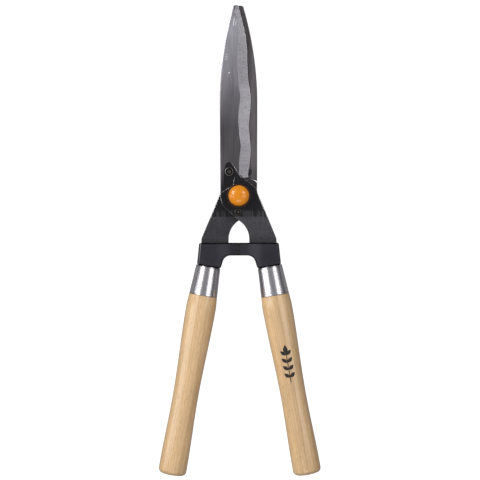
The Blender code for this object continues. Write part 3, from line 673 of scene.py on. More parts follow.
def round_lobe(mesh):
    """Rounds the lobe's edge beside the recess floor, where the cut took the plate's rounding away."""
    near = 0.00002
    floor = ARM_HIGH - RECESS_DEPTH
    bore_reach = UPPER_RIVET_SHANK + 3.0 * GAP
    bm = edited(mesh)
    rim = []
    for edge in bm.edges:
        on_floor = all(abs(vertex.co.z - floor) < near for vertex in edge.verts)
        middle = (edge.verts[0].co + edge.verts[1].co) / 2.0
        if not on_floor or (middle.xy - Vector(UPPER_RIVET)).length < bore_reach:
            continue
        walls = [face for face in edge.link_faces if abs(face.normal.z) < 0.3]
        if len(walls) == 1 and walls[0].calc_center_median().z < floor:
            rim.append(edge)
    bmesh.ops.bevel(
        bm, geom=rim, offset=LOBE_EDGE, segments=3, profile=0.5, affect="EDGES", clamp_overlap=True
    )
    written(bm, mesh)


def arm_mesh():
    """The flat faces are slot 0 and the rounded edges, where paint wears off, are slot 1."""
    holes = [
        circle((0.0, 0.0), BOLT_RADIUS + GAP),
        circle(UPPER_RIVET, UPPER_RIVET_SHANK + GAP),
        circle(LOWER_RIVET, LOWER_RIVET_SHANK + GAP),
    ]
    mesh = plate([arm_outline(), *holes], ARM_THICKNESS, ARM_EDGE)
    head_centre = ARM_LOW + ARM_THICKNESS / 2.0
    cut_along(mesh, 1, crank_lines())
    for vertex in mesh.vertices:
        vertex.co.z += head_centre * (1.0 - crank(vertex.co.y))
    mesh = combined(mesh, [recess_cutter()])
    round_lobe(mesh)
    set_slots(mesh, 2)
    for face in mesh.polygons:
        if 0.20 < abs(face.normal.z) < 0.97:
            face.material_index = 1
    return shaded(mesh, 32.0)


# --- Rivets --------------------------------------------------------------------------------------


def rivet_mesh(head_radius, shank, head_z):
    """A rivet on the Z axis: a rounded rim round a pressed-in ring, and its foot flush in the blade."""
    foot_z = GAP
    rim = 0.20 * head_radius
    high = head_z + RIVET_RIM_HEIGHT
    rim_centre = (head_radius - rim, high - rim)
    profile = [(share * head_radius, high - drop) for share, drop in RIVET_FACE]
    profile += arc(rim_centre, rim, 120.0, 0.0, 10)
    profile += [
        (head_radius, head_z),
        (shank, head_z),
        (shank, foot_z + RIVET_FOOT_DEPTH),
        (shank + RIVET_FOOT_FLARE, foot_z),
        (0.0, foot_z),
    ]
    return shaded(turned(profile))


def upper_rivet_mesh():
    return rivet_mesh(UPPER_RIVET_HEAD, UPPER_RIVET_SHANK, ARM_HIGH - RECESS_DEPTH + GAP)


def lower_rivet_mesh():
    return rivet_mesh(LOWER_RIVET_HEAD, LOWER_RIVET_SHANK, ARM_HIGH + GAP)


# --- Collar --------------------------------------------------------------------------------------


def collar_outline():
    """Anticlockwise from the lower corner of the bar, which is cut off later at the stop face."""
    outer = Vector(COLLAR_OUTER_BOTTOM)
    inner = outer - HANDLE_ACROSS * COLLAR_FOOT_WIDTH
    return rounded(
        [
            (-COLLAR_ARCH_RADIUS, COLLAR_BAR_BOTTOM, 0.0),
            (COLLAR_ARCH_X, COLLAR_BAR_BOTTOM, COLLAR_ARCH_RADIUS),
            (*inner, 0.0022),
            (*outer, 0.0018),
            (COLLAR_OUTER_TOP, COLLAR_TOP, 0.0022),
            (-COLLAR_ARCH_RADIUS, COLLAR_TOP, 0.0),
        ],
        steps=9,
    )


def tang_slot():
    """A cutter for the slot that the arm's plate and tang pass through."""
    start = (BOW_HALF_WIDTH - GAP, COLLAR_TOP + CUTTER_PAST, 0.0)
    end = (SHOULDER[0] + SHOULDER_LEAN + GAP, COLLAR_TOP + CUTTER_PAST, 0.0)
    outline = rounded([end] + tang_corners(GAP) + [start])
    return linked("slot", plate([outline], ARM_THICKNESS + 2.0 * GAP))


def cut_at_stop(mesh):
    """Ends the bar at the stop face, whose upper and lower edges lean back as a thin groove."""
    bm = edited(mesh)
    bisected(bm, Vector((1.0, 0.0, 0.0)), STOP_GAP, clear_inner=True)
    rim = [edge for edge in bm.edges if edge.is_boundary]
    bmesh.ops.contextual_create(bm, geom=rim)
    written(bm, mesh)
    groove_floor = COLLAR_HALF_DEPTH * COLLAR_BAR_DEPTH_SHARE - STOP_GROOVE_DEPTH
    cut_along(mesh, 2, (-groove_floor, groove_floor))
    for vertex in mesh.vertices:
        if vertex.co.x < STOP_GAP * 1.5 and abs(vertex.co.z) > groove_floor + STOP_GAP:
            vertex.co.x = STOP_GROOVE_WIDTH
    return mesh


def collar_mesh():
    """The block is as deep as the ferrule, and thins to the stop bar."""
    mesh = plate([collar_outline()], 2.0 * COLLAR_HALF_DEPTH)
    bm = edited(mesh)
    bmesh.ops.dissolve_limit(bm, angle_limit=0.01, verts=bm.verts, edges=bm.edges)
    written(bm, mesh)
    blend_start, blend_end = COLLAR_BLEND
    cut_along(mesh, 0, [between(blend_start, blend_end, k / 8.0) for k in range(9)])
    for vertex in mesh.vertices:
        t = (vertex.co.x - blend_start) / (blend_end - blend_start)
        vertex.co.z *= between(COLLAR_BAR_DEPTH_SHARE, 1.0, smooth(t))
    block = linked("collar", mesh)
    add_bevel(block, COLLAR_EDGE, 6, 50.0).use_clamp_overlap = False
    return shaded(cut_at_stop(combined(settled(block), [tang_slot()])))


# --- Handle and ferrule --------------------------------------------------------------------------


def ferrule_radius(along):
    return between(FERRULE_TOP_RADIUS, FERRULE_FOOT_RADIUS, along / FERRULE_LENGTH)


def swollen(start, end, along):
    """The radius between two extremes of it, level at both."""
    t = (along - start[0]) / (end[0] - start[0])
    return between(start[1], end[1], (1.0 - math.cos(math.pi * t)) / 2.0)


def swell(start, end, steps):
    """Points from one extreme of the handle's radius to the next."""
    points = []
    for k in range(1, steps + 1):
        along = between(start[0], end[0], k / steps)
        points.append((along, swollen(start, end, along)))
    return points


def handle_radius(along):
    """The handle's half width this far down it, below the shoulder."""
    for start, end in ((HANDLE_BULGE, HANDLE_WAIST), (HANDLE_WAIST, HANDLE_PALM_SWELL)):
        if along <= end[0]:
            return swollen(start, end, along)
    return HANDLE_PALM_SWELL[1]


def in_half(mesh):
    """Moves a mesh from the handle's own axes to half coordinates."""
    mesh.transform(ALONG_HANDLE)
    return mesh


def ferrule_mesh():
    """A tapered ring with rolled lips, and a shallow groove above the lower one."""
    lip = 0.0005
    top_radius = ferrule_radius(GAP)
    foot_radius = ferrule_radius(FERRULE_LENGTH)
    groove = FERRULE_LENGTH - 0.0024
    outer = arc((GAP + lip, top_radius - lip), lip, 180.0, 90.0, 5)
    for step, depth in ((-0.0006, 0.0), (-0.0003, 0.00012), (0.0003, 0.00012), (0.0006, 0.0)):
        outer.append((groove + step, ferrule_radius(groove + step) - depth))
    outer += arc((FERRULE_LENGTH - lip, foot_radius - lip), lip, 90.0, 0.0, 5)
    inner = [(FERRULE_LENGTH, foot_radius - FERRULE_WALL), (GAP, top_radius - FERRULE_WALL)]
    profile = [(radius, -along) for along, radius in outer + inner]
    return shaded(in_half(turned(profile, HANDLE_OVAL)), 40.0)


def handle_mesh():
    """Turned and flattened: a neck in the ferrule, a bulge, a waist, a palm swell and a blunt end."""
    neck = FERRULE_WALL + GAP
    shoulder = FERRULE_LENGTH + GAP
    edge = 0.0003
    along = [(GAP, 0.0), (GAP, ferrule_radius(GAP) - neck), (shoulder, ferrule_radius(shoulder) - neck)]
    along += arc((shoulder + edge, HANDLE_SHOULDER_RADIUS - edge), edge, 180.0, 90.0, 4)
    along += swell((shoulder + edge, HANDLE_SHOULDER_RADIUS), HANDLE_BULGE, 6)
    along += swell(HANDLE_BULGE, HANDLE_WAIST, 28)
    along += swell(HANDLE_WAIST, HANDLE_PALM_SWELL, 20)
    end_centre = (HANDLE_LENGTH - HANDLE_END_ROUNDING, HANDLE_PALM_SWELL[1] - HANDLE_END_ROUNDING)
    along += arc(end_centre, HANDLE_END_ROUNDING, 90.0, 0.0, 12)
    along += [(HANDLE_LENGTH, 0.0)]
    profile = [(radius, -distance) for distance, radius in along]
    return shaded(in_half(turned(profile, HANDLE_OVAL)))


def on_handle(along, across):
    """A point just above the handle's upper side."""
    radius = handle_radius(along)
    height = radius * HANDLE_OVAL * math.sqrt(1.0 - (across / radius) ** 2)
    return ALONG_HANDLE @ Vector((across, -height - INK_THICKNESS, -along))


def sprig_leaf(bm, root, bearing, length, width):
    """A pointed leaf lying on the handle. Its bearing is measured from the way to the ferrule."""
    rows, columns = 14, 4
    grid = []
    for i in range(rows + 1):
        t = i / rows
        half = width * math.sin(math.pi * t**0.8)
        row = []
        for k in range(columns + 1):
            side = half * (2.0 * k / columns - 1.0)
            along = root[0] - length * t * math.cos(bearing) + side * math.sin(bearing)
            across = root[1] + length * t * math.sin(bearing) + side * math.cos(bearing)
            row.append(bm.verts.new(on_handle(along, across)))
        grid.append(row)
    for near, far in zip(grid, grid[1:]):
        for k in range(columns):
            bm.faces.new((near[k], near[k + 1], far[k + 1], far[k]))


def sprig_mesh():
    """A stem with pairs of leaves and one at its top, as thin as printing ink."""
    bm = bmesh.new()
    stem_steps = 24
    sides = []
    for i in range(stem_steps + 1):
        along = between(SPRIG_FOOT, SPRIG_TOP + SPRIG_LEAF_LENGTH * 0.9, i / stem_steps)
        sides.append([bm.verts.new(on_handle(along, side * SPRIG_STEM_WIDTH)) for side in (-1.0, 1.0)])
    for near, far in zip(sides, sides[1:]):
        bm.faces.new((near[0], near[1], far[1], far[0]))
    sprig_leaf(bm, (SPRIG_TOP + SPRIG_LEAF_LENGTH, 0.0), 0.0, SPRIG_LEAF_LENGTH, SPRIG_LEAF_WIDTH)
    low_pair = SPRIG_FOOT - 0.006
    high_pair = SPRIG_TOP + SPRIG_LEAF_LENGTH * 1.2
    for pair in range(SPRIG_PAIRS):
        along = between(low_pair, high_pair, pair / (SPRIG_PAIRS - 1))
        for side in (-1.0, 1.0):
            root = (along, side * SPRIG_STEM_WIDTH)
            sprig_leaf(bm, root, side * SPRIG_LEAF_ANGLE, SPRIG_LEAF_LENGTH * 0.8, SPRIG_LEAF_WIDTH * 0.8)
    bmesh.ops.remove_doubles(bm, verts=bm.verts, dist=1e-7)
    return shaded(mesh_from(bm, "sprig"))


# --- Pivot cap -----------------------------------------------------------------------------------


def dome(radius, top, rise, steps):
    """A quarter ellipse from the axis down to the radius."""
    points = []
    for k in range(steps + 1):
        angle = math.pi / 2.0 * k / steps
        points.append((radius * math.sin(angle), top - rise * (1.0 - math.cos(angle))))
    return points


def cap_mesh():
    """A domed cup with a rounded lip, open underneath."""
    inner_radius = CAP_RADIUS - CAP_WALL
    outer = dome(CAP_RADIUS, CAP_TOP, CAP_DOME, 28)
    outer += arc((CAP_RADIUS - CAP_LIP, CAP_BASE + CAP_LIP), CAP_LIP, 0.0, -90.0, 5)
    inner = [(inner_radius, CAP_BASE)] + dome(inner_radius, CAP_TOP - CAP_WALL, CAP_DOME, 16)[::-1]
    return shaded(turned(outer + inner))


# --- Finishes ------------------------------------------------------------------------------------


class Nodes:
    """Short calls for building a node tree."""

    def __init__(self, owner):
        owner.use_nodes = True
        self.tree = owner.node_tree

    def node(self, kind, inputs=None, **settings):
        made = self.tree.nodes.new(kind)
        for key, value in settings.items():
            setattr(made, key, value)
        for key, value in (inputs or {}).items():
            self.feed(made.inputs[key], value)
        return made

    def feed(self, socket, value):
        if isinstance(value, bpy.types.NodeSocket):
            self.tree.links.new(value, socket)
        else:
            socket.default_value = value

    def to_camera(self, hidden, seen):
        """The first shader, or the second where the camera looks straight at it."""
        path = self.node("ShaderNodeLightPath")
        inputs = {0: path.outputs["Is Camera Ray"], 1: hidden.outputs[0], 2: seen.outputs[0]}
        return self.node("ShaderNodeMixShader", inputs).outputs[0]


class Finish(Nodes):
    """A Principled material, with short calls for the nodes that finishes are made of."""

    def __init__(self, name, **settings):
        self.material = bpy.data.materials.new(name)
        super().__init__(self.material)
        self.shader = self.tree.nodes["Principled BSDF"]
        coordinates = self.node("ShaderNodeTexCoord")
        self.place = coordinates.outputs["Object"]
        self.normal = coordinates.outputs["Normal"]
        for socket, value in settings.items():
            self.set(socket.replace("_", " ").title(), value)

    def follow(self, matrix):
        """From here on places are measured in these axes, and not in the piece's own."""
        location, rotation, _ = matrix.decompose()
        inputs = {"Vector": self.place, "Location": location, "Rotation": rotation.to_euler()}
        self.place = self.node("ShaderNodeMapping", inputs, vector_type="TEXTURE").outputs["Vector"]

    def set(self, socket, value):
        self.feed(self.shader.inputs[socket.replace("Ior", "IOR")], value)

    def stretched(self, scale, location=(0.0, 0.0, 0.0)):
        """The piece's own coordinates, times a scale for each axis."""
        inputs = {"Vector": self.place, "Scale": scale, "Location": location}
        return self.node("ShaderNodeMapping", inputs).outputs["Vector"]

    def noise(self, scale, stretch=(1.0, 1.0, 1.0), detail=3.0, roughness=0.5, distortion=0.0):
        inputs = {"Vector": self.stretched(stretch), "Scale": scale, "Detail": detail}
        inputs.update({"Roughness": roughness, "Distortion": distortion})
        return self.node("ShaderNodeTexNoise", inputs).outputs["Fac"]

    def axis(self, name):
        return self.node("ShaderNodeSeparateXYZ", {0: self.place}).outputs[name]

    def range(self, value, low, high, to_low=0.0, to_high=1.0, smooth_ends=False):
        inputs = {0: value, 1: low, 2: high, 3: to_low, 4: to_high}
        kind = "SMOOTHSTEP" if smooth_ends else "LINEAR"
        return self.node("ShaderNodeMapRange", inputs, interpolation_type=kind, clamp=True).outputs[0]

    def math(self, operation, first, second=0.0):
        return self.node("ShaderNodeMath", {0: first, 1: second}, operation=operation).outputs[0]

    def mix(self, share, first, second):
        """From the first colour to the second as the share goes from 0 to 1."""
        made = self.node("ShaderNodeMix", data_type="RGBA")
        self.feed(made.inputs[0], share)
        self.feed(made.inputs[6], first)
        self.feed(made.inputs[7], second)
        return made.outputs[2]

    def blend(self, value, low, high, first, second):
        """From the first colour to the second as the value goes from low to high."""
        return self.mix(self.range(value, low, high), first, second)

    def ramp(self, name, *bounds):
        """What range() makes of the place along an axis."""
        return self.range(self.axis(name), *bounds)

    def length(self, vector):
        return self.node("ShaderNodeVectorMath", {0: vector}, operation="LENGTH").outputs["Value"]

    def times(self, first, second):
        return self.math("MULTIPLY", first, second)

    def fade(self, colour, name, *bounds):
        """The colour darkened or lightened along an axis."""
        return self.shade(colour, self.ramp(name, *bounds))

    def vary(self, colour, noise, amount, low=0.3):
        """The colour made up to this much darker and lighter by a noise."""
        return self.shade(colour, self.range(noise, low, 1.0 - low, 1.0 - amount, 1.0 + amount))

    def shade(self, colour, share):
        """The colour darkened or lightened by a factor socket."""
        made = self.node("ShaderNodeVectorMath", operation="SCALE")
        self.feed(made.inputs[0], colour)
        self.feed(made.inputs[3], share)
        return made.outputs[0]

    def done(self, base, roughness, height, depth):
        """The material, with relief whose full height is this depth in metres."""
        bump = self.node("ShaderNodeBump", {"Height": height, "Distance": depth, "Strength": 1.0})
        self.set("Base Color", base)
        self.set("Roughness", roughness)
        self.set("Normal", bump.outputs["Normal"])
        return self.material


def colour(red, green, blue):
    return (red, green, blue, 1.0)


def mark_mask(finish, marks):
    """1 on the marks and 0 elsewhere. A mark is (x, y, half length, half width, bearing in degrees)."""
    nick_glint_mask = 0.0
    flat = finish.stretched((1.0, 1.0, 0.0))
    for x, y, half_length, half_width, bearing in marks:
        inputs = {
            "Vector": flat,
            "Location": (x, y, 0.0),
            "Rotation": (0.0, 0.0, math.radians(bearing)),
            "Scale": (half_length, half_width, 1.0),
        }
        local = finish.node("ShaderNodeMapping", inputs, vector_type="TEXTURE").outputs["Vector"]
        distance = finish.length(local)
        nick_glint_mask = finish.math("MAXIMUM", nick_glint_mask, finish.range(distance, 0.4, 1.0, 1.0, 0.0))
    return nick_glint_mask


# Nicks and scuffs on the front blade's face: real marks, painted near white as painted highlights for the
# glints they catch
BLADE_NICKS_AND_GLINTS = [
    (-0.0105, 0.1396, 0.0014, 0.0008, 55.0),
    (-0.0120, 0.1362, 0.0004, 0.0003, 0.0),
    (-0.0090, 0.1355, 0.0004, 0.0003, 0.0),
    (-0.0050, 0.1975, 0.0070, 0.0006, 82.0),
    (-0.0030, 0.1955, 0.0040, 0.0004, 70.0),
    (-0.0133, 0.1600, 0.0024, 0.0003, 4.0),
    (-0.0136, 0.1575, 0.0028, 0.0003, 4.0),
    (-0.0138, 0.1550, 0.0026, 0.0003, 4.0),
]


def face_finish(marks):
    """Dark steel with lengthwise polishing lines, with painted light towards the tip and painted shade by
    the heel.
    """
    finish = Finish("steel_with_painted_light", metallic=1.0)
    grain = finish.noise(900.0, (1.0, 0.03, 1.0), 4.0, 0.6)
    cloud = finish.noise(55.0, (1.0, 0.35, 1.0), 5.0, 0.55)
    # Painted light: the colour brightens along the blade towards the tip, for how the lamps light it, and
    # eases off at the very tip
    painted_tip_light = finish.ramp("Y", 0.078, 0.195)
    base = finish.mix(painted_tip_light, colour(0.202, 0.187, 0.206), colour(0.780, 0.765, 0.840))
    base = finish.fade(base, "Y", 0.184, 0.206, 1.0, 0.74)
    base = finish.vary(base, grain, 0.10, 0.25)
    base = finish.vary(base, cloud, 0.10, 0.25)
    # Painted shade by the heel, beside the arm
    base = finish.fade(base, "Y", 0.008, 0.034, 0.35, 1.0, True)
    roughness = finish.range(finish.math("ADD", grain, cloud), 0.6, 1.4, 0.26, 0.36)
    # Nicks and scuffs, painted near white as painted highlights for the glints they catch
    if marks:
        nick_glint_mask = mark_mask(finish, marks)
        base = finish.mix(nick_glint_mask, base, colour(0.90, 0.90, 0.92))
        finish.set("Metallic", finish.math("SUBTRACT", 1.0, nick_glint_mask))
    return finish.done(base, roughness, grain, 0.000006)


def ground_finish():
    """The bright band beside the edge, with fine grinding lines across it."""
    finish = Finish("ground_steel", metallic=1.0)
    lines = finish.noise(1400.0, (0.04, 1.0, 1.0), 3.0, 0.6)
    bands = finish.noise(260.0, (0.05, 1.0, 1.0), 2.0)
    middle = finish.ramp("Y", 0.030, 0.100)
    upper = finish.ramp("Y", 0.104, 0.130)
    base = finish.mix(middle, colour(0.300, 0.288, 0.312), colour(0.360, 0.349, 0.374))
    base = finish.mix(upper, base, colour(0.268, 0.261, 0.280))
    # Painted highlight: the last sliver of it at the heel is painted up to 3.3 times brighter, as the
    # light it catches
    heel_sliver_highlight = finish.ramp("Y", 0.0215, 0.0230, 1.0, 0.0)
    heel_sliver_highlight = finish.times(heel_sliver_highlight, finish.ramp("X", 0.0115, 0.0150))
    base = finish.shade(base, finish.range(heel_sliver_highlight, 0.0, 1.0, 1.0, 3.3))
    base = finish.vary(base, bands, 0.06)
    base = finish.vary(base, lines, 0.07)
    return finish.done(base, finish.range(lines, 0.3, 0.7, 0.26, 0.36), lines, 0.000002)


def inner_finish():
    """The faces that slide on each other: dark, with lengthwise lines."""
    finish = Finish("sliding_steel", metallic=1.0)
    grain = finish.noise(1000.0, (1.0, 0.03, 1.0), 4.0, 0.6)
    cloud = finish.noise(70.0, (1.0, 0.3, 1.0), 4.0)
    base = finish.blend(cloud, 0.35, 0.7, colour(0.195, 0.178, 0.190), colour(0.262, 0.240, 0.252))
    base = finish.vary(base, grain, 0.10, 0.25)
    # Painted shade: darker towards the tip, and darker near the heel beside the arm
    for bounds in ((0.060, 0.120, 1.0, 0.84), (0.130, 0.170, 1.0, 0.86), (0.020, 0.050, 0.60, 0.95)):
        base = finish.fade(base, "Y", *bounds)
    # Painted shade: darker in the line where the other blade's edge stops, as the shadow beside that edge,
    # and along the spine's edge
    base = finish.fade(base, "X", -0.0150, -0.0130, 1.0, 0.74, True)
    base = finish.fade(base, "X", -0.0200, -0.0188, 0.70, 1.0, True)
    return finish.done(base, finish.range(grain, 0.3, 0.7, 0.34, 0.46), grain, 0.000006)


def lobe_side():
    """The way that the lobe's edge towards the blade's middle faces."""
    start, end = (Vector((*corner[:2], 0.0)) for corner in LOBE_TO_SHOULDER[1:3])
    return (end - start).normalized().cross(Vector((0.0, 0.0, -1.0)))


def paint_finish(name, worn):
    """Black semi-gloss paint over pressed steel, worn through to the steel in patches where asked."""
    finish = Finish(name, specular_tint=colour(0.90, 0.88, 1.0))
    peel = finish.noise(420.0, detail=2.0)
    speckle = finish.noise(1500.0, detail=2.0)
    dust = finish.noise(60.0, (1.0, 0.6, 1.0), 5.0, 0.6)
    streaks = finish.noise(300.0, (1.0, 0.08, 1.0), 3.0)
    base = finish.blend(dust, 0.30, 0.75, colour(0.025, 0.025, 0.028), colour(0.040, 0.040, 0.044))
    # Painted shade: the rear half's upper side, its -Z faces, is darker, and its sloping step, which leans
    # towards the tips, darker still
    shade_facing = finish.node("ShaderNodeSeparateXYZ", {0: finish.normal}).outputs
    base = finish.shade(base, finish.range(shade_facing["Z"], -0.5, 0.5, 0.86, 1.0))
    base = finish.shade(base, finish.range(shade_facing["Y"], 0.10, 0.20, 1.0, 0.74))
    # The head is darker and glossier down to a line just below the lower rivet, less so in streaks just
    # above that line
    darker_head = finish.ramp("Y", -0.0242, -0.0230, 0.0, 1.0, True)
    hairs = finish.range(finish.noise(520.0, (1.0, 0.05, 1.0), 2.0), 0.46, 0.62)
    head_streak_zone = finish.ramp("Y", -0.0150, -0.0190, 0.0, 1.0, True)
    darker_head = finish.times(darker_head, finish.range(finish.times(hairs, head_streak_zone), 0.0, 1.0, 0.92, 0.25))
    base = finish.mix(darker_head, base, colour(0.003, 0.003, 0.0035))
    base = finish.shade(base, finish.range(streaks, 0.35, 0.75, 0.90, 1.20))
    mottle = finish.noise(650.0, detail=2.0)
    base = finish.shade(base, finish.range(mottle, 0.3, 0.7, 0.62, 1.42))
    roughness = finish.range(finish.math("ADD", dust, speckle), 0.6, 1.4, 0.36, 0.54)
    roughness = finish.math("SUBTRACT", roughness, finish.times(darker_head, 0.18))
    if worn:
        patches = finish.range(finish.noise(110.0, detail=4.0, roughness=0.6), 0.26, 0.46)
        patches = finish.times(patches, finish.ramp("Y", -0.034, -0.022))
        base = finish.mix(patches, base, colour(0.27, 0.26, 0.26))
        roughness = finish.math("SUBTRACT", roughness, finish.times(patches, 0.12))
        finish.set("Metallic", patches)
    # Along the lobe's edge towards the blade's middle a lighter grey line is painted: paint rubbed thin,
    # and a painted highlight on that edge
    out_of_lobe = lobe_side()
    past = finish.node("ShaderNodeVectorMath", {0: finish.place, 1: out_of_lobe}, operation="DOT_PRODUCT")
    line = out_of_lobe.dot(Vector((*LOBE_TO_SHOULDER[1][:2], 0.0)))
    rubbed_edge_highlight = finish.range(past.outputs["Value"], line - RUBBED_HIGHLIGHT_WIDTH, line - 0.6 * RUBBED_HIGHLIGHT_WIDTH)
    rubbed_edge_highlight = finish.times(rubbed_edge_highlight, finish.ramp("Y", 0.0190, 0.0225, 0.0, 1.0, True))
    base = finish.mix(rubbed_edge_highlight, base, colour(0.150, 0.142, 0.150))
    relief = finish.math("ADD", peel, finish.times(speckle, 0.5))
    return finish.done(base, roughness, relief, 0.00007)


def collar_finish():
    """Black moulded plastic with a spark texture: dull sides with painted shade, and a painted highlight
    line down the outer corner.
    """
    finish = Finish("black_plastic", specular_tint=colour(0.90, 0.88, 1.0))
    grain = finish.noise(2600.0, detail=2.0)
    cloud = finish.range(finish.noise(45.0, detail=4.0), 0.3, 0.7)
    normal = finish.node("ShaderNodeSeparateXYZ", {0: finish.normal}).outputs
    upright = finish.math("ABSOLUTE", normal["Z"])
    # The upper face is glossy as far as the rounded edges and the stop groove; off it the colour is
    # painted shade
    top = finish.times(finish.range(upright, 0.84, 0.945), finish.ramp("X", 0.0008, 0.0012))
    top = finish.times(top, finish.range(normal["Y"], 0.04, 0.22, 1.0, 0.0))
    # A painted highlight line keeps its distance from the leaning side, and shows most on the rear half's
    # top
    leaned = finish.math("SUBTRACT", finish.axis("X"), finish.times(finish.axis("Y"), COLLAR_SIDE_LEAN))
    inset = finish.math("SUBTRACT", COLLAR_OUTER_TOP - COLLAR_SIDE_LEAN * COLLAR_TOP, leaned)
    line = finish.range(inset, 0.0022, 0.0026, 1.0, 0.0)
    line = finish.times(line, finish.range(inset, 0.0015, 0.0018))
    line = finish.times(line, finish.ramp("Y", -0.0745, -0.0560, 0.45, 1.0))
    line = finish.times(line, finish.range(upright, 0.5, 0.8))
    line = finish.times(line, finish.range(normal["Z"], -0.01, 0.01, 1.0, 0.10))
    base = finish.mix(cloud, colour(0.0095, 0.0095, 0.0140), colour(0.0170, 0.0162, 0.0225))
    base = finish.vary(base, grain, 0.15)
    # Painted shade on the rounded edges, in the stop groove and on the top edge beside the arm
    base = finish.shade(base, finish.range(top, 0.0, 1.0, 0.30, 1.0))
    # Painted highlight line down the outer corner
    base = finish.mix(line, base, colour(0.24, 0.24, 0.25))
    finish.set("Specular IOR Level", finish.range(top, 0.0, 1.0, 0.02, 0.43))
    return finish.done(base, finish.range(cloud, 0.0, 1.0, 0.36, 0.52), grain, 0.00004)


def rivet_finish(name, head_radius, wear):
    """Blackened steel, rubbed bright on the outside of the rim and dull on the foot in the blade."""
    finish = Finish(name, metallic=1.0)
    fleck = finish.noise(900.0, detail=3.0)
    cloud = finish.noise(220.0, detail=3.0)
    radius = finish.length(finish.stretched((1.0, 1.0, 0.0)))
    rim = finish.range(radius, 0.78 * head_radius, 0.88 * head_radius, smooth_ends=True)
    worn = finish.times(rim, finish.range(cloud, 0.35, 0.65, 0.6 * wear, wear))
    middle = finish.range(radius, 0.24 * head_radius, 0.40 * head_radius, 1.0, 0.0)
    base = finish.mix(middle, colour(0.032, 0.028, 0.024), colour(0.085, 0.078, 0.072))
    base = finish.mix(worn, base, colour(0.250, 0.241, 0.238))
    foot = finish.ramp("Z", 0.0012, 0.0016, 1.0, 0.0)
    base = finish.mix(foot, base, colour(0.052, 0.045, 0.054))
    base = finish.vary(base, fleck, 0.25)
    return finish.done(base, finish.range(fleck, 0.3, 0.7, 0.38, 0.55), fleck, 0.00002)


def chrome_finish():
    """Polished steel with fine drawing lines down it and a few handling smudges."""
    finish = Finish("polished_steel", metallic=1.0)
    finish.follow(ALONG_HANDLE)
    drawn = finish.noise(1500.0, (1.0, 1.0, 0.02), 2.0)
    smudge = finish.noise(120.0, (1.0, 1.0, 0.5), 4.0, 0.6)
    base = finish.blend(smudge, 0.35, 0.75, colour(0.74, 0.72, 0.76), colour(0.64, 0.63, 0.68))
    # Painted shade: darker at the top beside the collar, and a little at the foot beside the wood
    base = finish.fade(base, "Z", -0.0030, -0.0004, 1.0, 0.50, True)
    base = finish.fade(base, "Z", -0.0335, -0.0318, 0.72, 1.0, True)
    roughness = finish.range(finish.math("ADD", drawn, smudge), 0.7, 1.5, 0.23, 0.28)
    return finish.done(base, roughness, drawn, 0.0000004)


def wood_finish(name, ring_centre, warmth, bands):
    """Pale close-grained hardwood under clear lacquer, with growth rings round an axis off to one side.

    Bands of painted light and shade run down the handle, each with a place across it, a half width and a
    factor.
    """
    finish = Finish(name, coat_weight=1.0, coat_roughness=0.16, coat_ior=1.5)
    finish.follow(ALONG_HANDLE)
    off_axis = finish.stretched((1.0, 1.0, 0.035), (*ring_centre, 0.0))
    wander = finish.node("ShaderNodeTexNoise", {"Vector": off_axis, "Scale": 60.0, "Detail": 3.0})
    shifted = finish.node("ShaderNodeVectorMath", operation="MULTIPLY_ADD")
    finish.feed(shifted.inputs[0], wander.outputs["Color"])
    finish.feed(shifted.inputs[1], (0.004, 0.004, 0.0))
    finish.feed(shifted.inputs[2], off_axis)
    rings = finish.node(
        "ShaderNodeTexWave",
        {"Vector": shifted.outputs[0], "Scale": 120.0, "Distortion": 1.2, "Detail": 2.0},
        wave_type="RINGS",
        rings_direction="Z",
    ).outputs["Fac"]
    fibre = finish.noise(1500.0, (1.0, 1.0, 0.06), 4.0, 0.6)
    streak = finish.noise(240.0, (1.0, 1.0, 0.09), 4.0)
    cloud = finish.noise(28.0, (1.0, 1.0, 0.35), 3.0)
    fleck_noise = finish.noise(1300.0, (1.0, 1.0, 0.16), 1.0)
    flecks = finish.range(fleck_noise, 0.63, 0.72)
    base = finish.mix(
        rings,
        colour(0.735 * warmth, 0.500 * warmth, 0.268 * warmth),
        colour(0.680 * warmth, 0.440 * warmth, 0.222 * warmth),
    )
    base = finish.vary(base, streak, 0.06)
    base = finish.vary(base, fibre, 0.10)
    base = finish.vary(base, cloud, 0.05)
    waver = finish.range(cloud, 0.3, 0.7, -0.0015, 0.0015)
    across = finish.math("ADD", finish.axis("X"), waver)
    # Painted light and shade across the handle
    for place, half_width, factor in bands:
        off = finish.math("ABSOLUTE", finish.math("SUBTRACT", across, place))
        base = finish.shade(base, finish.range(off, 0.2 * half_width, half_width, factor, 1.0, True))
    base = finish.mix(finish.times(flecks, 0.55), base, colour(0.36, 0.20, 0.10))
    relief = finish.math("SUBTRACT", finish.times(fibre, 0.5), finish.times(flecks, 0.5))
    return finish.done(base, finish.range(fibre, 0.3, 0.7, 0.42, 0.58), relief, 0.00004)


def ink_finish():
    """Dark brown printing ink, thin enough for the grain to break it up."""
    finish = Finish("printing_ink", roughness=0.5)
    finish.follow(ALONG_HANDLE)
    fibre = finish.noise(1500.0, (1.0, 1.0, 0.03), 3.0, 0.6)
    base = finish.blend(fibre, 0.45, 0.8, colour(0.010, 0.007, 0.006), colour(0.050, 0.032, 0.022))
    finish.set("Base Color", base)
    return finish.material


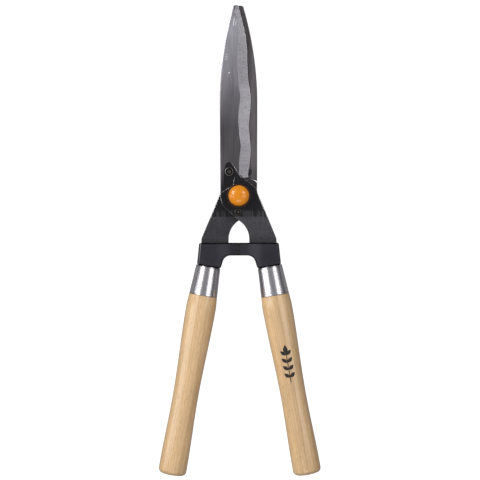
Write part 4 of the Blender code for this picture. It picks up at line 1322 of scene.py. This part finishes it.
def cap_finish():
    """Glossy orange plastic, with faint swirls in its colour and fine scuffs in its gloss."""
    finish = Finish(
        "orange_plastic", coat_weight=0.55, coat_roughness=0.14, coat_ior=1.5, specular_ior_level=0.20
    )
    swirl = finish.noise(160.0, detail=3.0, distortion=1.0)
    scuff = finish.noise(900.0, detail=3.0)
    base = finish.blend(swirl, 0.3, 0.7, colour(0.79, 0.245, 0.010), colour(0.84, 0.280, 0.014))
    finish.set("Subsurface Weight", 0.05)
    return finish.done(base, finish.range(scuff, 0.3, 0.7, 0.20, 0.30), scuff, 0.000008)


def plated_finish(name, tone, roughness):
    """Plated or blacked fastener steel with a mottled coat."""
    finish = Finish(name, metallic=1.0)
    mottle = finish.noise(500.0, detail=4.0)
    cloud = finish.noise(90.0, detail=3.0)
    base = finish.vary(tone, mottle, 0.12)
    roughness = finish.range(cloud, 0.3, 0.7, roughness - 0.06, roughness + 0.08)
    return finish.done(base, roughness, mottle, 0.000015)


def nylon_finish():
    finish = Finish("natural_nylon", subsurface_weight=0.2)
    cloud = finish.noise(300.0, detail=3.0)
    base = finish.mix(cloud, colour(0.70, 0.73, 0.74), colour(0.80, 0.82, 0.82))
    return finish.done(base, finish.range(cloud, 0.3, 0.7, 0.42, 0.55), cloud, 0.00002)


# --- Assembly ------------------------------------------------------------------------------------


def place_piece(name, mesh, matrix, body, materials):
    """A shown piece in the row frame, riding on its body in place of the CAD node of that name."""
    piece = linked(name + "_fine", mesh.copy(), matrix)
    for index, material in enumerate(materials):
        if index < len(piece.data.materials):
            piece.data.materials[index] = material
        else:
            piece.data.materials.append(material)
    piece.modifiers.new("even shading", "WEIGHTED_NORMAL").keep_sharp = True
    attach(piece, body)
    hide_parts(name)


def add_halves():
    """Every piece of a half, on the front half and turned over on the rear half."""
    paint = [paint_finish("black_paint", False), paint_finish("worn_black_paint", True)]
    plastic = collar_finish()
    chrome = chrome_finish()
    grinding = ground_finish()
    sliding = inner_finish()
    front_face = face_finish(BLADE_NICKS_AND_GLINTS)
    rear_face = face_finish([])
    # Painted light and shade across each handle: lighter on its side towards the left lamps, darker in the
    # middle and on the right
    right_light_and_shade = [(-0.0130, 0.0060, 1.24), (0.0005, 0.0040, 0.90), (0.0140, 0.0045, 0.95)]
    left_light_and_shade = [(0.0125, 0.0050, 1.10), (-0.0065, 0.0050, 0.97)]
    right_wood = wood_finish("right_hardwood", (0.047, -0.020), 1.0, right_light_and_shade)
    left_wood = wood_finish("left_hardwood", (-0.060, 0.035), 1.02, left_light_and_shade)
    still = Matrix.Identity(4)
    at_upper = Matrix.Translation((*UPPER_RIVET, 0.0))
    at_lower = Matrix.Translation((*LOWER_RIVET, 0.0))
    front_blade = [front_face, grinding, sliding]
    rear_blade = [rear_face, grinding, sliding]
    upper = [rivet_finish("upper_rivet_steel", UPPER_RIVET_HEAD, 1.0)]
    lower = [rivet_finish("lower_rivet_steel", LOWER_RIVET_HEAD, 0.4)]
    rivet = "rivet_steel"
    rows = [
        ("front_blade", "rear_blade", blade_mesh(), still, "blade_steel", front_blade, rear_blade),
        ("front_arm", "rear_arm", arm_mesh(), still, "arm_paint", paint, paint),
        ("front_upper_rivet", "rear_upper_rivet", upper_rivet_mesh(), at_upper, rivet, upper, upper),
        ("front_lower_rivet", "rear_lower_rivet", lower_rivet_mesh(), at_lower, rivet, lower, lower),
        ("right_collar", "left_collar", collar_mesh(), still, "collar_plastic", [plastic], [plastic]),
        ("right_ferrule", "left_ferrule", ferrule_mesh(), still, "ferrule_chrome", [chrome], [chrome]),
        ("right_handle", "left_handle", handle_mesh(), still, "handle_wood", [right_wood], [left_wood]),
    ]
    for front, rear, mesh, local, slot, front_materials, rear_materials in rows:
        place_piece(front, mesh, FRONT_PLACE @ local, "front_half", front_materials)
        place_piece(rear, mesh, REAR_PLACE @ local, "rear_half", rear_materials)


def add_sprig():
    """The printed mark on the right handle."""
    sprig = linked("handle_sprig", sprig_mesh(), FRONT_PLACE)
    sprig.data.materials.append(ink_finish())
    skin = sprig.modifiers.new("ink", "SOLIDIFY")
    skin.thickness = INK_THICKNESS
    skin.offset = 0.0
    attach(sprig, "front_half")


def add_pivot():
    """The orange cap, and the fasteners under it, which keep their CAD shapes with softened edges."""
    still = Matrix.Identity(4)
    place_piece("pivot_cap", cap_mesh(), still, "rear_half", [cap_finish()])
    zinc = plated_finish("zinc_plate", (0.52, 0.52, 0.51), 0.34)
    # The washer under the cap is tinted brown: partly the oxide's own tone, partly a painted reflection of
    # the orange cap
    black = plated_finish("black_oxide_with_cap_reflection", (0.075, 0.048, 0.034), 0.42)
    nylon = nylon_finish()
    finishes = {
        "pivot_bolt": zinc,
        "bolt_washer": zinc,
        "nut_washer": black,
        "spring_washer": zinc,
        "pivot_nut": zinc,
        "nut_lock_ring": nylon,
    }
    for name, material in finishes.items():
        node = frame["nodes"][name]
        node.data.materials.clear()
        node.data.materials.append(material)
        weld = node.modifiers.new("weld", "WELD")
        weld.merge_threshold = 1e-6
        add_bevel(node, FASTENER_EDGE, 2, 40.0)


# --- Studio --------------------------------------------------------------------------------------

# The camera stands straight above the middle of the shears
FRAME_MARGIN = 1.0218
CAMERA_OFFSET = (0.0012, 0.0005)
CAMERA_LENS = 100.0
CAMERA_ROLL = math.radians(-0.19)
FLOOR_SIZE = 30.0
FLOOR_DROP = 0.0002
FLOOR_COLOUR = colour(0.28, 0.28, 0.28)
FLOOR_GLOW = 0.95
WORLD_TOP = 0.21
WORLD_HORIZON = 0.08


def add_camera():
    data = bpy.data.cameras.new("camera")
    data.lens = CAMERA_LENS
    data.clip_end = 100.0
    camera = linked("camera", data)
    middle = (CAD_LOW + CAD_HIGH) / 2.0
    width = (CAD_HIGH.y - CAD_LOW.y) * FRAME_MARGIN
    distance = width * data.lens / data.sensor_width
    camera.location = (middle.x + CAMERA_OFFSET[0], middle.y + CAMERA_OFFSET[1], HINGE.z + distance)
    camera.rotation_euler = (0.0, 0.0, CAMERA_ROLL)
    bpy.context.scene.camera = camera


def add_floor():
    """A pale floor just under the shears. It looks white to the camera, and lights nothing."""
    bm = bmesh.new()
    bmesh.ops.create_grid(bm, x_segments=1, y_segments=1, size=FLOOR_SIZE / 2.0)
    floor = linked("floor", mesh_from(bm, "floor"), Matrix.Translation((0.0, 0.0, CAD_LOW.z - FLOOR_DROP)))
    finish = Finish("floor", base_color=FLOOR_COLOUR, roughness=0.9, specular_ior_level=0.1)
    dark = finish.node("ShaderNodeEmission", {"Strength": 0.0})
    glow = finish.node("ShaderNodeEmission", {"Strength": FLOOR_GLOW})
    inputs = {0: finish.to_camera(dark, glow), 1: finish.shader.outputs[0]}
    total = finish.node("ShaderNodeAddShader", inputs)
    finish.feed(finish.tree.nodes["Material Output"].inputs["Surface"], total.outputs[0])
    floor.data.materials.append(finish.material)


def add_softbox(name, azimuth, tilt, distance, size, power, tint=(1.0, 1.0, 1.0)):
    """A rectangular light facing the shears' middle. Azimuth runs from +X, tilt from straight up."""
    light = bpy.data.lights.new(name, "AREA")
    light.shape = "RECTANGLE"
    light.size, light.size_y = size
    light.energy = power
    light.color = tint
    softbox = linked(name, light)
    around = math.radians(azimuth)
    over = math.radians(tilt)
    way = Vector((math.cos(around) * math.sin(over), math.sin(around) * math.sin(over), math.cos(over)))
    middle = (CAD_LOW + CAD_HIGH) / 2.0
    softbox.location = middle + way * distance
    softbox.rotation_euler = (-way).to_track_quat("-Z", "Y").to_euler()
    softbox.visible_camera = False


def add_world():
    """A grey room, darker towards the horizon, and seen as white by the camera."""
    world = bpy.data.worlds.new("room")
    bpy.context.scene.world = world
    sky = Nodes(world)
    way = sky.node("ShaderNodeTexCoord").outputs["Generated"]
    height = sky.node("ShaderNodeSeparateXYZ", {0: way}).outputs["Z"]
    inputs = {0: height, 1: 0.0, 2: 0.8, 3: WORLD_HORIZON, 4: WORLD_TOP}
    fade = sky.node("ShaderNodeMapRange", inputs).outputs[0]
    room = sky.node("ShaderNodeBackground", {"Color": colour(0.98, 0.98, 1.0), "Strength": fade})
    white = sky.node("ShaderNodeBackground", {"Color": colour(1.0, 1.0, 1.0)})
    sky.feed(sky.tree.nodes["World Output"].inputs["Surface"], sky.to_camera(room, white))


def add_studio():
    add_camera()
    add_floor()
    add_world()
    add_softbox("left_key", 146.0, 45.0, 1.6, (0.55, 0.60), 12.0)
    add_softbox("right_key", 35.0, 39.0, 1.7, (0.42, 0.42), 6.2)
    add_softbox("left_strip", 182.0, 52.0, 1.6, (0.50, 1.36), 5.8)
    add_softbox("right_strip", -2.0, 35.0, 1.7, (0.52, 0.90), 2.8)
    add_softbox("near_panel", -90.0, 31.0, 2.0, (1.0, 0.50), 5.6)
    bpy.context.scene.view_settings.view_transform = "Standard"


add_studio()
add_halves()
add_sprig()
add_pivot()
